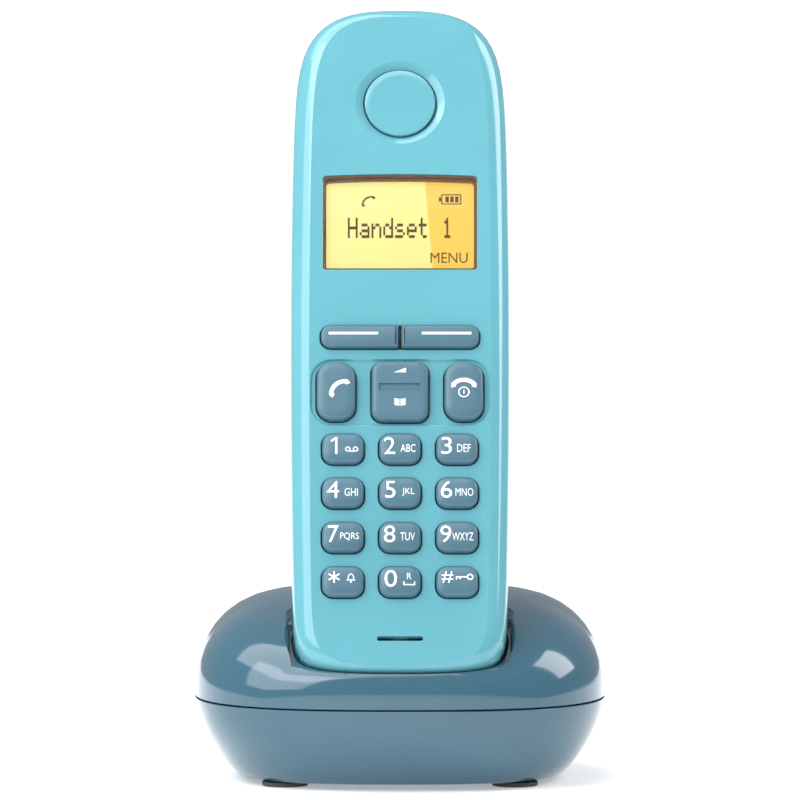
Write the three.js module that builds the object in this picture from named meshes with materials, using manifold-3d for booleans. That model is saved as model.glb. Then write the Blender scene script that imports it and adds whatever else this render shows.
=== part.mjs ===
// Cordless telephone: a slim handset that leans back in a small charging base.
// Millimetres, +Z up, front towards -Y, X across. The origin is under the middle of the
// bounding box, on the surface that the rubber feet stand on.

import * as THREE from 'three';
import { mergeVertices } from 'three/addons/utils/BufferGeometryUtils.js';
import Module from 'manifold-3d';

const wasm = await Module();
wasm.setup();

// ---- driving dimensions: placement ----
const GAP = 0.3;
const LEAN = THREE.MathUtils.degToRad(27);
const CENTRE_SHIFT = -4.45;
const HANDSET_Y = -29;
const HANDSET_Z = 20.6;

// ---- driving dimensions: base ----
const BASE_HALF_WIDTH = 44.8;
const BASE_HALF_DEPTH = 42;
const BASE_SQUARENESS = 2.7;
const BASE_PARTING = 18.45;
const BASE_BOTTOM = 1.3;
const BASE_WALL = 2;
const BASE_TAPER = 9;
const BASE_TAPER_POWER = 1.665;
const TOP_BACK_Z = 40.3;
const TOP_BACK_Y = 38;
const TOP_FRONT_Y = -36;
const TOP_FALL = 11.5;
const TOP_FALL_POWER = 3;
const ROLL = 7;
const SHOULDER_SWELL = 1.6;
const SHOULDER_POWER = 1.2;
const BASE_TURNS = 32;
const POCKET_CLEARANCE = 0.9;
const POCKET_WALL = 1.7;
const FOOT_X = 25;
const FOOT_Y = 21;
const BASE_SCREW_X = 28.5;
const BASE_SCREW_Y = 4;

// ---- driving dimensions: handset, in its own frame (z runs up its length, front towards -y) ----
const LENGTH = 157.5;
const HALF_LENGTH = LENGTH / 2;
const HALF_WIDTH = 24;
const FRONT = -13.5;
const BACK = 13.5;
const SPLIT = -2;
const WALL = 1.8;
const HANDSET_TURNS = 36;
const CORNER = 2.8;
// faceInset is how much of a ring's inset the face takes at that end.
const TOP_END = { squareness: 11.5, taper: 0.065, faceInset: 0.76 };
const LOWER_END = { squareness: 26, taper: 0.045, faceInset: 0.31 };

// ---- driving dimensions: what the handset's face carries ----
const WINDOW = { z: 105.4, width: 33.8, height: 22.2 };
const EARPIECE_Z = 133.9;
const EARPIECE_RADIUS = 7.7;
const SOFTKEY_Z = 78.3;
const PANEL_Z = 65.4;
const PANEL = { width: 39.3, height: 15.9, depth: 0.4, radius: 5 };
const DIGIT_ROWS = [51.9, 41.6, 31.2, 20.8];
const DIGIT_COLUMNS = [-12.4, 0, 12.4];
const DIGIT_NAMES = [
  ['key_1', 'key_2', 'key_3'],
  ['key_4', 'key_5', 'key_6'],
  ['key_7', 'key_8', 'key_9'],
  ['key_star', 'key_0', 'key_hash'],
];
const KEY_GAP = 0.3;
const KEY_FRONT = FRONT - 1.4;
const KEY_BEVEL = 0.8;
const KEY_BACK = -10.9;
const DIGIT_KEY = { width: 9, height: 6.9, radius: 2.4 };
const SOFT_KEY = { x: 8.75, width: 16.9, height: 5.1, radius: 1.4 };
const CALL_KEY = { x: 13.9, width: 8.4, height: 13.4, radius: 3.4 };
const ROCKER_KEY = { width: 12.3, height: 13.8, radius: 2.4 };
const MIC_Z = 7.8;
const MIC_SLOT = { width: 10, height: 1.1, radius: 0.5 };
const CELL_RADIUS = 5.25;
const CELL_LENGTH = 44.5;
const NUB_RADIUS = 2;
const COVER = { low: 32, high: 98, halfWidth: 17, skin: 1.4 };
const LEDGE_Y = 10.5;
const LEDGE_THICKNESS = 1.2;
const HANDSET_SCREW = { x: 15.5, z: 90 };

// ---- solids ----

// A closed geometry as a solid: shared corners are merged and the collapsed
// triangles at a lathe's poles are dropped.
function solidOf(geometry) {
  const bare = geometry.index ? geometry.toNonIndexed() : geometry.clone();
  bare.deleteAttribute('normal');
  bare.deleteAttribute('uv');
  const merged = mergeVertices(bare, 1e-4);
  const corners = merged.index.array;
  const triangles = [];
  for (let i = 0; i < corners.length; i += 3) {
    const [a, b, c] = [corners[i], corners[i + 1], corners[i + 2]];
    if (a !== b && b !== c && c !== a) {
      triangles.push(a, b, c);
    }
  }
  return new wasm.Manifold(new wasm.Mesh({
    numProp: 3,
    vertProperties: new Float32Array(merged.attributes.position.array),
    triVerts: new Uint32Array(triangles),
  }));
}

function block(x0, x1, y0, y1, z0, z1) {
  const geometry = new THREE.BoxGeometry(x1 - x0, y1 - y0, z1 - z0);
  geometry.translate((x0 + x1) / 2, (y0 + y1) / 2, (z0 + z1) / 2);
  return solidOf(geometry);
}

// A turned solid standing along Z at (x, y): profile pairs are [radius, z], axis to axis.
function turnedUp(profile, x, y, turns = 16) {
  const geometry = new THREE.LatheGeometry(profile.map(([r, z]) => new THREE.Vector2(r, z)), turns);
  geometry.rotateX(Math.PI / 2);
  geometry.translate(x, y, 0);
  return solidOf(geometry);
}

// A turned solid whose axis points at the handset's front: profile pairs are
// [radius, y], from the back (largest y) to the front.
function turnedForward(profile, x, z, turns = 24) {
  const points = profile.map(([r, y]) => new THREE.Vector2(r, -y));
  const geometry = new THREE.LatheGeometry(points, turns);
  geometry.rotateX(Math.PI);
  geometry.translate(x, 0, z);
  return solidOf(geometry);
}

function roundedRectangle(width, height, radius) {
  const w = width / 2;
  const h = height / 2;
  const r = Math.min(radius, w - 0.01, h - 0.01);
  const shape = new THREE.Shape();
  shape.moveTo(-w + r, -h);
  shape.lineTo(w - r, -h);
  shape.absarc(w - r, -h + r, r, -Math.PI / 2, 0, false);
  shape.lineTo(w, h - r);
  shape.absarc(w - r, h - r, r, 0, Math.PI / 2, false);
  shape.lineTo(-w + r, h);
  shape.absarc(-w + r, h - r, r, Math.PI / 2, Math.PI, false);
  shape.lineTo(-w, -h + r);
  shape.absarc(-w + r, -h + r, r, Math.PI, Math.PI * 1.5, false);
  return shape;
}

// A prism of a shape drawn in the handset's x-z plane, from yFront back to yBack.
function prism(shape, x, z, yFront, yBack, bevel = 0, arcSteps = 1) {
  const geometry = new THREE.ExtrudeGeometry(shape, {
    depth: yBack - yFront - 2 * bevel,
    curveSegments: arcSteps,
    bevelEnabled: bevel > 0,
    bevelThickness: bevel,
    bevelSize: bevel,
    bevelOffset: -bevel,
    bevelSegments: 1,
  });
  geometry.rotateX(Math.PI / 2);
  geometry.translate(x, yBack - bevel, z);
  return solidOf(geometry);
}

// A lathe whose rings are moved to a new outline. Rings are [spread, inset, level]:
// spread 0 is on the axis, inset shrinks the outline.
function loft(rings, turns, place) {
  const points = rings.map(([spread, , level]) => new THREE.Vector2(spread, level));
  const geometry = new THREE.LatheGeometry(points, turns);
  const position = geometry.attributes.position;
  for (let turn = 0; turn <= turns; turn += 1) {
    const angle = ((turn % turns) / turns) * Math.PI * 2;
    rings.forEach((ring, number) => {
      const [x, y, z] = place(angle, ...ring);
      position.setXYZ(turn * rings.length + number, x, y, z);
    });
  }
  return geometry;
}

function signedPower(value, exponent) {
  if (Math.abs(value) < 1e-9) {
    return 0;
  }
  return Math.sign(value) * Math.abs(value) ** exponent;
}

// ---- the base's outer form ----

function topHeight(y) {
  const held = THREE.MathUtils.clamp(y, TOP_FRONT_Y, TOP_BACK_Y);
  const reach = (TOP_BACK_Y - held) / (TOP_BACK_Y - TOP_FRONT_Y);
  return TOP_BACK_Z - TOP_FALL * reach ** TOP_FALL_POWER;
}

function basePlan(angle, spread, inset) {
  const x = spread * (BASE_HALF_WIDTH - inset) * signedPower(Math.cos(angle), 2 / BASE_SQUARENESS);
  const y = spread * (BASE_HALF_DEPTH - inset) * signedPower(Math.sin(angle), 2 / BASE_SQUARENESS);
  return [x, y];
}

// The shoulder is tight at the front and full along the sides and the back.
function shoulder(angle) {
  return 1 + SHOULDER_SWELL * Math.min(1, 1 + Math.sin(angle)) ** SHOULDER_POWER;
}

// Levels above zero are drops below the top surface; level -1 is the floor plane.
function upperForm(shrink, floor) {
  const place = (angle, spread, inset, level) => {
    const swell = shoulder(angle);
    const [x, y] = basePlan(angle, spread, inset * swell + shrink);
    return [x, y, level < 0 ? floor : topHeight(y) - shrink - level * swell];
  };
  const rings = [[0, 0, -1], [1, 0, -1]];
  for (const degrees of [0, 30, 60, 90]) {
    const turn = THREE.MathUtils.degToRad(degrees);
    rings.push([1, ROLL * (1 - Math.cos(turn)), ROLL * (1 - Math.sin(turn))]);
  }
  for (const spread of [0.75, 0.45, 0]) {
    rings.push([spread, ROLL, 0]);
  }
  return solidOf(loft(rings, BASE_TURNS, place));
}

function lowerInset(z) {
  const depth = Math.max(BASE_PARTING - z, 0) / (BASE_PARTING - BASE_BOTTOM);
  return BASE_TAPER * depth ** BASE_TAPER_POWER;
}

function lowerForm(shrink, floor, roof) {
  const place = (angle, spread, inset, z) => [...basePlan(angle, spread, inset + shrink), z];
  const rings = [[0, 0, floor], [1, lowerInset(floor) + 0.6, floor]];
  for (const step of [0.06, 0.3, 0.6, 1]) {
    const z = floor + (roof - floor) * step;
    rings.push([1, lowerInset(z), z]);
  }
  rings.push([0, 0, roof]);
  return solidOf(loft(rings, BASE_TURNS, place));
}

// ---- the handset's outer form ----

const FRONT_RINGS = [[1, 0, -8], [1, 0.8, -10.9], [1, 2.2, -12.7], [1, 4.2, FRONT], [0, 0, FRONT]];
const BACK_RINGS = [[0, 0, BACK], [1, 10, BACK], [1, 7, 13], [1, 3.5, 11.2], [1, 1.2, 8], [1, 0, 3]];

function handsetPlace(grow) {
  return (angle, spread, inset, y) => {
    const end = Math.sin(angle) > 0 ? TOP_END : LOWER_END;
    const along = signedPower(Math.sin(angle), 2 / end.squareness);
    const across = signedPower(Math.cos(angle), 2 / CORNER) * (1 - end.taper * along * along);
    const endInset = inset * (y < SPLIT ? end.faceInset : 1);
    return [
      spread * (HALF_WIDTH + grow - inset) * across,
      y + (y > SPLIT ? grow : -grow) * (Math.abs(y) > 3 ? 1 : 0),
      HALF_LENGTH + spread * (HALF_LENGTH + grow - endInset) * along,
    ];
  };
}

function handsetForm(rings, grow) {
  return solidOf(loft(rings, HANDSET_TURNS, handsetPlace(grow)));
}

const wholeRings = [...BACK_RINGS, ...FRONT_RINGS];
const frontRings = [[0, 0, SPLIT], [1, 0, SPLIT], ...FRONT_RINGS];
const rearRings = [...BACK_RINGS, [1, 0, SPLIT + GAP], [0, 0, SPLIT + GAP]];

// ---- meshes ----

const palette = {
  shell: { color: 0x66bfcc, roughness: 0.25, metalness: 0 },
  base: { color: 0x4f7a92, roughness: 0.25, metalness: 0 },
  key: { color: 0x4b7690, roughness: 0.45, metalness: 0 },
  screen: { color: 0xf8dd70, roughness: 0.2, metalness: 0 },
  board: { color: 0x2f6b45, roughness: 0.6, metalness: 0 },
  dark: { color: 0x2a2d30, roughness: 0.6, metalness: 0 },
  metal: { color: 0xb9bcc0, roughness: 0.3, metalness: 1 },
  gold: { color: 0xd0b060, roughness: 0.3, metalness: 1 },
  rubber: { color: 0x55585c, roughness: 0.9, metalness: 0 },
  cell: { color: 0xd8dde0, roughness: 0.4, metalness: 0 },
  white: { color: 0xe8e8e4, roughness: 0.5, metalness: 0 },
};

function addPiece(group, name, solid, finish) {
  const mesh = solid.getMesh();
  const geometry = new THREE.BufferGeometry();
  geometry.setAttribute('position', new THREE.BufferAttribute(mesh.vertProperties, 3));
  geometry.setIndex(new THREE.BufferAttribute(mesh.triVerts, 1));
  geometry.computeVertexNormals();
  const piece = new THREE.Mesh(geometry, new THREE.MeshStandardMaterial(palette[finish]));
  piece.name = name;
  group.add(piece);
}

const phone = new THREE.Group();
const base = new THREE.Group();
const handset = new THREE.Group();
phone.position.y = CENTRE_SHIFT;
handset.position.set(0, HANDSET_Y, HANDSET_Z);
handset.rotation.x = -LEAN;
handset.updateMatrix();
phone.add(base, handset);

// A solid made in the handset's frame, turned into the base's frame.
function inBaseFrame(geometrySolid) {
  return geometrySolid.transform(handset.matrix.elements);
}

// ---- base ----

const CONTACT_X = 8;
const CONTACT_Y = 5.2;
const SOCKET_FACE_Y = 33;
const LINE = { x0: -18, x1: -5, y0: 18, y1: SOCKET_FACE_Y, z0: 6.5, z1: 18 };
const LINE_MOUTH = { x0: -16.4, x1: -6.6, z0: 8.3, z1: 15.1, depth: 11 };
const POWER = { x0: 6, x1: 16, y0: 20, y1: SOCKET_FACE_Y, z0: 6.5, z1: 14.6 };
const POWER_MOUTH = { x0: 7.5, x1: 14.5, z0: 7.9, z1: 13.1, depth: 9 };
const PAGING = { halfWidth: 3.5, z0: 8.5, z1: 13.5, y0: 32.5, y1: 40.6 };
const PAGING_TRAVEL = 0.8;
const OPENING_EASE = 0.8;
const BOARD_THICKNESS = 1.6;
const BOARD_Z = 4.6;
const PARTS_Z = BOARD_Z + BOARD_THICKNESS + GAP;
const FOOT = { radius: 5, height: 1, edge: 0.4 };

function slotAbove(contactX) {
  return block(contactX - 2.2, contactX + 2.2, CONTACT_Y - 2.6, CONTACT_Y + 2.6, -4.5, 1);
}

function baseUpperShell() {
  const outer = upperForm(0, BASE_PARTING);
  const inner = upperForm(BASE_WALL, BASE_PARTING - 5);
  const pocket = inBaseFrame(handsetForm(wholeRings, POCKET_CLEARANCE));
  const cup = inBaseFrame(handsetForm(wholeRings, POCKET_CLEARANCE + POCKET_WALL));
  const below = block(-28, 28, -34, 2, 8.5, BASE_PARTING + 1);
  let shell = outer.subtract(inner).add(cup.intersect(outer.add(below)));
  for (const side of [-1, 1]) {
    const post = turnedUp([[0, 4.5], [3, 4.5], [3, 40], [0, 40]], side * BASE_SCREW_X, BASE_SCREW_Y);
    const clipped = post.intersect(outer.add(lowerForm(0, BASE_BOTTOM, BASE_PARTING + 1)));
    shell = shell.add(clipped);
  }
  shell = shell.subtract(pocket);
  for (const side of [-1, 1]) {
    const pilot = turnedUp([[0, 3], [1.5, 3], [1.5, 13], [0, 13]], side * BASE_SCREW_X, BASE_SCREW_Y, 10);
    shell = shell.subtract(pilot).subtract(inBaseFrame(slotAbove(side * CONTACT_X)));
  }
  return shell;
}

// The hole in the base's back wall round a mouth or a key.
function backOpening(mouth, ease) {
  const [inside, outside] = [SOCKET_FACE_Y - 2, BASE_HALF_DEPTH + 4];
  return block(mouth.x0 - ease, mouth.x1 + ease, inside, outside, mouth.z0 - ease, mouth.z1 + ease);
}

function baseLowerShell() {
  const roof = BASE_PARTING - GAP;
  let shell = lowerForm(0, BASE_BOTTOM, roof);
  shell = shell.subtract(lowerForm(BASE_WALL, BASE_BOTTOM + BASE_WALL, roof + 1));
  for (const side of [-1, 1]) {
    const [x, y] = [side * BASE_SCREW_X, BASE_SCREW_Y];
    shell = shell.add(turnedUp([[0, 3], [4.5, 3], [4.5, 4.2], [0, 4.2]], x, y));
    shell = shell.subtract(turnedUp([[0, 0], [3, 0], [3, 2.9], [1.6, 2.9], [1.6, 5], [0, 5]], x, y, 12));
  }
  const paging = { x0: -PAGING.halfWidth, x1: PAGING.halfWidth, z0: PAGING.z0, z1: PAGING.z1 };
  return shell
    .subtract(backOpening(LINE_MOUTH, OPENING_EASE))
    .subtract(backOpening(POWER_MOUTH, OPENING_EASE))
    .subtract(backOpening(paging, KEY_GAP));
}

function socket(body, mouth) {
  const hole = block(mouth.x0, mouth.x1, body.y1 - mouth.depth, body.y1 + 1, mouth.z0, mouth.z1);
  return block(body.x0, body.x1, body.y0, body.y1, body.z0, body.z1).subtract(hole);
}

function baseAntenna() {
  const plate = block(18, 18.4, -6, 16, PARTS_Z, 13);
  return plate.subtract(block(17, 20, -2, 17, 8, 11.4));
}

addPiece(base, 'base_upper_shell', baseUpperShell(), 'base');
addPiece(base, 'base_lower_shell', baseLowerShell(), 'base');
addPiece(base, 'base_circuit_board', block(-22, 22, -25, 28, BOARD_Z, BOARD_Z + BOARD_THICKNESS), 'board');
addPiece(base, 'base_shield_can', block(-14, 14, -8, 12, PARTS_Z, 9.3), 'metal');
addPiece(base, 'base_antenna', baseAntenna(), 'metal');
addPiece(base, 'line_socket', socket(LINE, LINE_MOUTH), 'dark');
addPiece(base, 'power_inlet', socket(POWER, POWER_MOUTH), 'dark');
const switchFace = PAGING.y0 - PAGING_TRAVEL - GAP;
addPiece(base, 'paging_switch', block(-3.1, 3.1, switchFace - 2.8, switchFace, PARTS_Z, 13.4), 'dark');

const pagingShape = roundedRectangle(PAGING.halfWidth * 2, PAGING.z1 - PAGING.z0, 1.8);
const pagingKey = prism(pagingShape, 0, (PAGING.z0 + PAGING.z1) / 2, PAGING.y0, PAGING.y1, 0.5);
addPiece(base, 'paging_button', pagingKey, 'key');

const footProfile = [[0, 0], [FOOT.radius - FOOT.edge, 0], [FOOT.radius, FOOT.edge],
  [FOOT.radius, FOOT.height], [0, FOOT.height]];
for (const [name, x, y] of [
  ['foot_front_left', -FOOT_X, -FOOT_Y],
  ['foot_front_right', FOOT_X, -FOOT_Y],
  ['foot_rear_left', -FOOT_X, FOOT_Y],
  ['foot_rear_right', FOOT_X, FOOT_Y],
]) {
  addPiece(base, name, turnedUp(footProfile, x, y, 14), 'rubber');
}

for (const [name, side] of [['base_screw_left', -1], ['base_screw_right', 1]]) {
  const profile = [[0, 1.4], [2.6, 1.4], [2.6, 2.6], [1.2, 2.6], [1.2, 11.4], [0, 12]];
  addPiece(base, name, turnedUp(profile, side * BASE_SCREW_X, BASE_SCREW_Y, 8), 'metal');
}

// The contact carrier and its two spring contacts lie square to the handset.
function contactCarrier() {
  let carrier = block(-13, 13, 0, 10.4, -8.4, -3.1);
  for (const side of [-1, 1]) {
    const x = side * CONTACT_X;
    carrier = carrier.subtract(block(x - 1.9, x + 1.9, CONTACT_Y - 2.3, CONTACT_Y + 2.3, -10, -2));
  }
  return carrier;
}

// A hairpin of sprung strip, drawn in the y-z plane and 2.6 mm wide.
function chargeContact(x) {
  const shape = new THREE.Shape();
  shape.moveTo(-1.9, -7.6);
  shape.lineTo(-1.5, -7.6);
  shape.lineTo(-1.5, -1);
  shape.absarc(0, -1, 1.2, Math.PI, 0, true);
  shape.lineTo(1.5, -5);
  shape.lineTo(1.9, -5);
  shape.lineTo(1.6, -1);
  shape.absarc(0, -1, 1.6, 0, Math.PI, false);
  const geometry = new THREE.ExtrudeGeometry(shape, { depth: 2.6, bevelEnabled: false, curveSegments: 3 });
  geometry.rotateZ(Math.PI / 2);
  geometry.rotateY(Math.PI / 2);
  geometry.translate(x - 1.3, CONTACT_Y, 0);
  return solidOf(geometry);
}

addPiece(handset, 'contact_carrier', contactCarrier(), 'dark');
addPiece(handset, 'charge_contact_left', chargeContact(-CONTACT_X), 'gold');
addPiece(handset, 'charge_contact_right', chargeContact(CONTACT_X), 'gold');

// ---- handset: shells ----

function keyShape(key) {
  return roundedRectangle(key.width, key.height, key.radius);
}

function aperture(key) {
  const shape = roundedRectangle(key.width + 2 * KEY_GAP, key.height + 2 * KEY_GAP, key.radius + KEY_GAP);
  return prism(shape, key.x, key.z, FRONT - 1, FRONT + 4);
}

function keyCap(key) {
  return prism(keyShape(key), key.x, key.z, KEY_FRONT, KEY_BACK, KEY_BEVEL);
}

const digitKeys = DIGIT_NAMES.flatMap((names, row) => names.map((name, column) => ({
  ...DIGIT_KEY, name, x: DIGIT_COLUMNS[column], z: DIGIT_ROWS[row],
})));
const softKeys = [['softkey_left', -1], ['softkey_right', 1]].map(([name, side]) => ({
  ...SOFT_KEY, name, x: side * SOFT_KEY.x, z: SOFTKEY_Z,
}));
const callKeys = [['talk_key', -1], ['end_key', 1]].map(([name, side]) => ({
  ...CALL_KEY, name, x: side * CALL_KEY.x, z: PANEL_Z,
}));
const rocker = { ...ROCKER_KEY, name: 'navigation_rocker', x: 0, z: PANEL_Z };
const slideKeys = [...softKeys, ...callKeys, ...digitKeys];

function screwPost(side, profile, turns = 12) {
  return turnedForward(profile, side * HANDSET_SCREW.x, HANDSET_SCREW.z, turns);
}

function frontShell() {
  const outer = handsetForm(frontRings, 0);
  const inner = handsetForm([[0, 0, SPLIT + 3], [1, 0, SPLIT + 3], ...FRONT_RINGS], -WALL);
  let shell = outer.subtract(inner);
  for (const side of [-1, 1]) {
    const post = screwPost(side, [[0, 1.2], [2.6, 1.2], [2.6, -12.4], [0, -12.4]]);
    shell = shell.add(post).subtract(screwPost(side, [[0, 2], [1.3, 2], [1.3, -8], [0, -8]], 8));
  }
  const panel = roundedRectangle(PANEL.width, PANEL.height, PANEL.radius);
  shell = shell.subtract(prism(panel, 0, PANEL_Z, FRONT - 1, FRONT + PANEL.depth, 0, 2));
  for (const key of [...slideKeys, rocker]) {
    shell = shell.subtract(aperture(key));
  }
  const window = roundedRectangle(WINDOW.width, WINDOW.height, 0.8);
  shell = shell.subtract(prism(window, 0, WINDOW.z, FRONT - 1, FRONT + 4));
  const dish = [[0, -8], [EARPIECE_RADIUS + 0.4, -8], [EARPIECE_RADIUS + 0.4, FRONT + 0.9], [9.8, FRONT],
    [9.8, FRONT - 1], [0, FRONT - 1]];
  shell = shell.subtract(turnedForward(dish, 0, EARPIECE_Z));
  const slot = roundedRectangle(MIC_SLOT.width, MIC_SLOT.height, MIC_SLOT.radius);
  return shell.subtract(prism(slot, 0, MIC_Z, FRONT - 1, FRONT + 4));
}

function coverPrism(grow) {
  const shape = roundedRectangle((COVER.halfWidth + grow) * 2, COVER.high - COVER.low + 2 * grow, 4);
  return prism(shape, 0, (COVER.low + COVER.high) / 2, 8, BACK + 1, 0, 2);
}

const BAY = { halfWidth: 11.8, low: 35, high: 87, floor: 1 };
const RINGER_Z = 120;

function rearShell() {
  const outer = handsetForm(rearRings, 0);
  const inner = handsetForm([...BACK_RINGS, [1, 0, SPLIT - 3], [0, 0, SPLIT - 3]], -WALL);
  let shell = outer.subtract(inner);
  const ledge = block(-18.5, 18.5, LEDGE_Y - LEDGE_THICKNESS, LEDGE_Y, COVER.low - 2.2, COVER.high + 2.2);
  const tray = block(-BAY.halfWidth - 1, BAY.halfWidth + 1, 0, LEDGE_Y, BAY.low - 1, BAY.high + 1);
  const behindLedge = coverPrism(GAP).subtract(block(-30, 30, -2, LEDGE_Y, 0, LENGTH));
  shell = shell.add(ledge.intersect(outer)).subtract(behindLedge).add(tray);
  for (const side of [-1, 1]) {
    shell = shell.add(screwPost(side, [[0, LEDGE_Y], [3.4, LEDGE_Y], [3.4, 1.6], [0, 1.6]]));
  }
  shell = shell.subtract(block(-BAY.halfWidth, BAY.halfWidth, BAY.floor, 14, BAY.low, BAY.high));
  const headAndShank = [[0, 12], [2.4, 12], [2.4, 8.4], [1.3, 8.4], [1.3, 1], [0, 1]];
  for (const side of [-1, 1]) {
    shell = shell.subtract(screwPost(side, headAndShank));
  }
  for (const step of [-2, -1, 0, 1, 2]) {
    const slot = roundedRectangle(13 - 2 * Math.abs(step), 1.3, 0.6);
    shell = shell.subtract(prism(slot, 0, RINGER_Z + step * 3, 9, BACK + 1));
  }
  for (const side of [-1, 1]) {
    const x = side * CONTACT_X;
    shell = shell.subtract(block(x - 2.8, x + 2.8, CONTACT_Y - 2.8, CONTACT_Y + 2.8, -1, 3));
  }
  return shell;
}

function batteryCover() {
  const outer = handsetForm(rearRings, 0);
  const inner = handsetForm([...BACK_RINGS, [1, 0, SPLIT - 3], [0, 0, SPLIT - 3]], -COVER.skin);
  const nailNotch = prism(roundedRectangle(12, 3, 1.4), 0, COVER.high - 4.5, BACK - 0.5, BACK + 1);
  return coverPrism(0).intersect(outer).subtract(inner).subtract(nailNotch);
}

addPiece(handset, 'handset_front_shell', frontShell(), 'shell');
addPiece(handset, 'handset_rear_shell', rearShell(), 'shell');
addPiece(handset, 'battery_cover', batteryCover(), 'shell');

// ---- handset: keys, display, sound ----

for (const key of [...slideKeys, rocker]) {
  addPiece(handset, key.name, keyCap(key), 'key');
}

const glass = roundedRectangle(WINDOW.width - 2 * GAP, WINDOW.height - 2 * GAP, 0.6);
addPiece(handset, 'display_window', prism(glass, 0, WINDOW.z, FRONT + 0.2, FRONT + 1.2), 'screen');
const MODULE = [-17.5, 17.5, WINDOW.z - 12.6, WINDOW.z + 12.6];
addPiece(handset, 'display_module', block(MODULE[0], MODULE[1], -11.3, -9.3, MODULE[2], MODULE[3]), 'screen');
addPiece(handset, 'display_backlight', block(-17, 17, -9, -8, WINDOW.z - 12, WINDOW.z + 12), 'white');
addPiece(handset, 'keypad_mat', block(-18.6, 18.6, -9.8, -9.2, 15, 82.5), 'white');

const cap = [[0, -10.5], [9.4, -10.5], [9.4, -11.3], [EARPIECE_RADIUS, -11.3],
  [EARPIECE_RADIUS, -13.2], [EARPIECE_RADIUS - 0.3, FRONT], [0, FRONT]];
addPiece(handset, 'earpiece_cap', turnedForward(cap, 0, EARPIECE_Z), 'shell');
const speaker = [[0, -6.6], [6, -6.6], [6, -7.6], [9, -7.6], [9, -10.1], [0, -10.1]];
addPiece(handset, 'earpiece_speaker', turnedForward(speaker, 0, EARPIECE_Z, 16), 'dark');
const ringer = [[0, 11.2], [11, 11.2], [11, 8.6], [7, 8.6], [7, 7], [0, 7]];
addPiece(handset, 'ringer_speaker', turnedForward(ringer, 0, RINGER_Z, 16), 'dark');
const microphone = [[0, -8.9], [2.4, -8.9], [2.4, -11.2], [0, -11.2]];
addPiece(handset, 'microphone', turnedForward(microphone, 0, 9.6, 12), 'metal');

// ---- handset: electronics and power ----

function circuitBoard() {
  let board = block(-19, 19, -7.6, -6.4, 13, 122);
  for (const side of [-1, 1]) {
    board = board.subtract(screwPost(side, [[0, -5], [3, -5], [3, -9], [0, -9]]));
  }
  return board;
}

addPiece(handset, 'handset_circuit_board', circuitBoard(), 'board');
addPiece(handset, 'handset_shield_can', block(-12, 12, -6.1, -3.6, 50, 76), 'metal');
const strip = block(-13.5, 13.5, -9.4, -9, 144.4, 148).subtract(block(-11.5, 14, -10, -8, 145.6, 146.8));
addPiece(handset, 'handset_antenna', strip, 'metal');

const CELL_X = 5.55;
const CELL_Y = 6.55;
const CELL_LOW = 38.6;
for (const [name, side] of [['battery_cell_left', -1], ['battery_cell_right', 1]]) {
  const [low, high] = side < 0 ? [0, CELL_LENGTH] : [CELL_LENGTH, 0];
  const up = Math.sign(high - low);
  const profile = [[0, 0], [CELL_RADIUS - 0.4, 0], [CELL_RADIUS, 0.6], [CELL_RADIUS, CELL_LENGTH - 1.5],
    [NUB_RADIUS, CELL_LENGTH - 1.1], [NUB_RADIUS, CELL_LENGTH], [0, CELL_LENGTH]];
  const points = profile.map(([r, t]) => [r, CELL_LOW + low + up * t]);
  if (up < 0) {
    points.reverse();
  }
  addPiece(handset, name, turnedUp(points, side * CELL_X, CELL_Y, 16), 'cell');
}
addPiece(handset, 'battery_bridge_spring', block(-10.5, 10.5, 3.5, 9.5, 35.3, 38.3), 'metal');
addPiece(handset, 'battery_terminal_left', block(-9, -2.5, 3.5, 9.5, 83.4, 86.7), 'metal');
addPiece(handset, 'battery_terminal_right', block(2.5, 9, 3.5, 9.5, 83.4, 86.7), 'metal');

for (const [name, side] of [['charge_pad_left', -1], ['charge_pad_right', 1]]) {
  const x = side * CONTACT_X;
  addPiece(handset, name, block(x - 2.5, x + 2.5, CONTACT_Y - 2.5, CONTACT_Y + 2.5, 0.9, 1.9), 'gold');
}

for (const [name, side] of [['handset_screw_left', -1], ['handset_screw_right', 1]]) {
  const profile = [[0, 9.9], [2.1, 9.9], [2.1, 8.7], [1, 8.7], [1, -7], [0, -7.6]];
  addPiece(handset, name, screwPost(side, profile, 8), 'metal');
}

export default phone;
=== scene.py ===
"""Cordless telephone in its charging base.

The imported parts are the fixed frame. Each operator below models one piece, or a group of
like pieces, in millimetres: base pieces where they stand, handset pieces lying face up on
the bench (X across, Y along the handset from its lower end, Z towards its face). settle()
then brings a finished piece to its place in metres.
"""

import math

import bmesh
import bpy
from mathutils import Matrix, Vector


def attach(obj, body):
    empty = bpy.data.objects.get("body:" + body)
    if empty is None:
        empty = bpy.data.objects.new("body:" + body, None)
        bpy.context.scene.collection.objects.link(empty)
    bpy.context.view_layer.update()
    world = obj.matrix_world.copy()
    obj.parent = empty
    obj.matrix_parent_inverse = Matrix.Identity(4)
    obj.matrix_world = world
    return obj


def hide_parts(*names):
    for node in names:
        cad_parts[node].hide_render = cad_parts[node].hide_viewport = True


bl_info = {
    "name": "Cordless telephone",
    "version": (1, 0, 0),
    "blender": (4, 5, 0),
    "location": "3D View > Sidebar > Telephone",
    "description": "Finished housings, keys, display and fittings for a cordless telephone and its charging base",
    "category": "Add Mesh",
}

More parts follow.
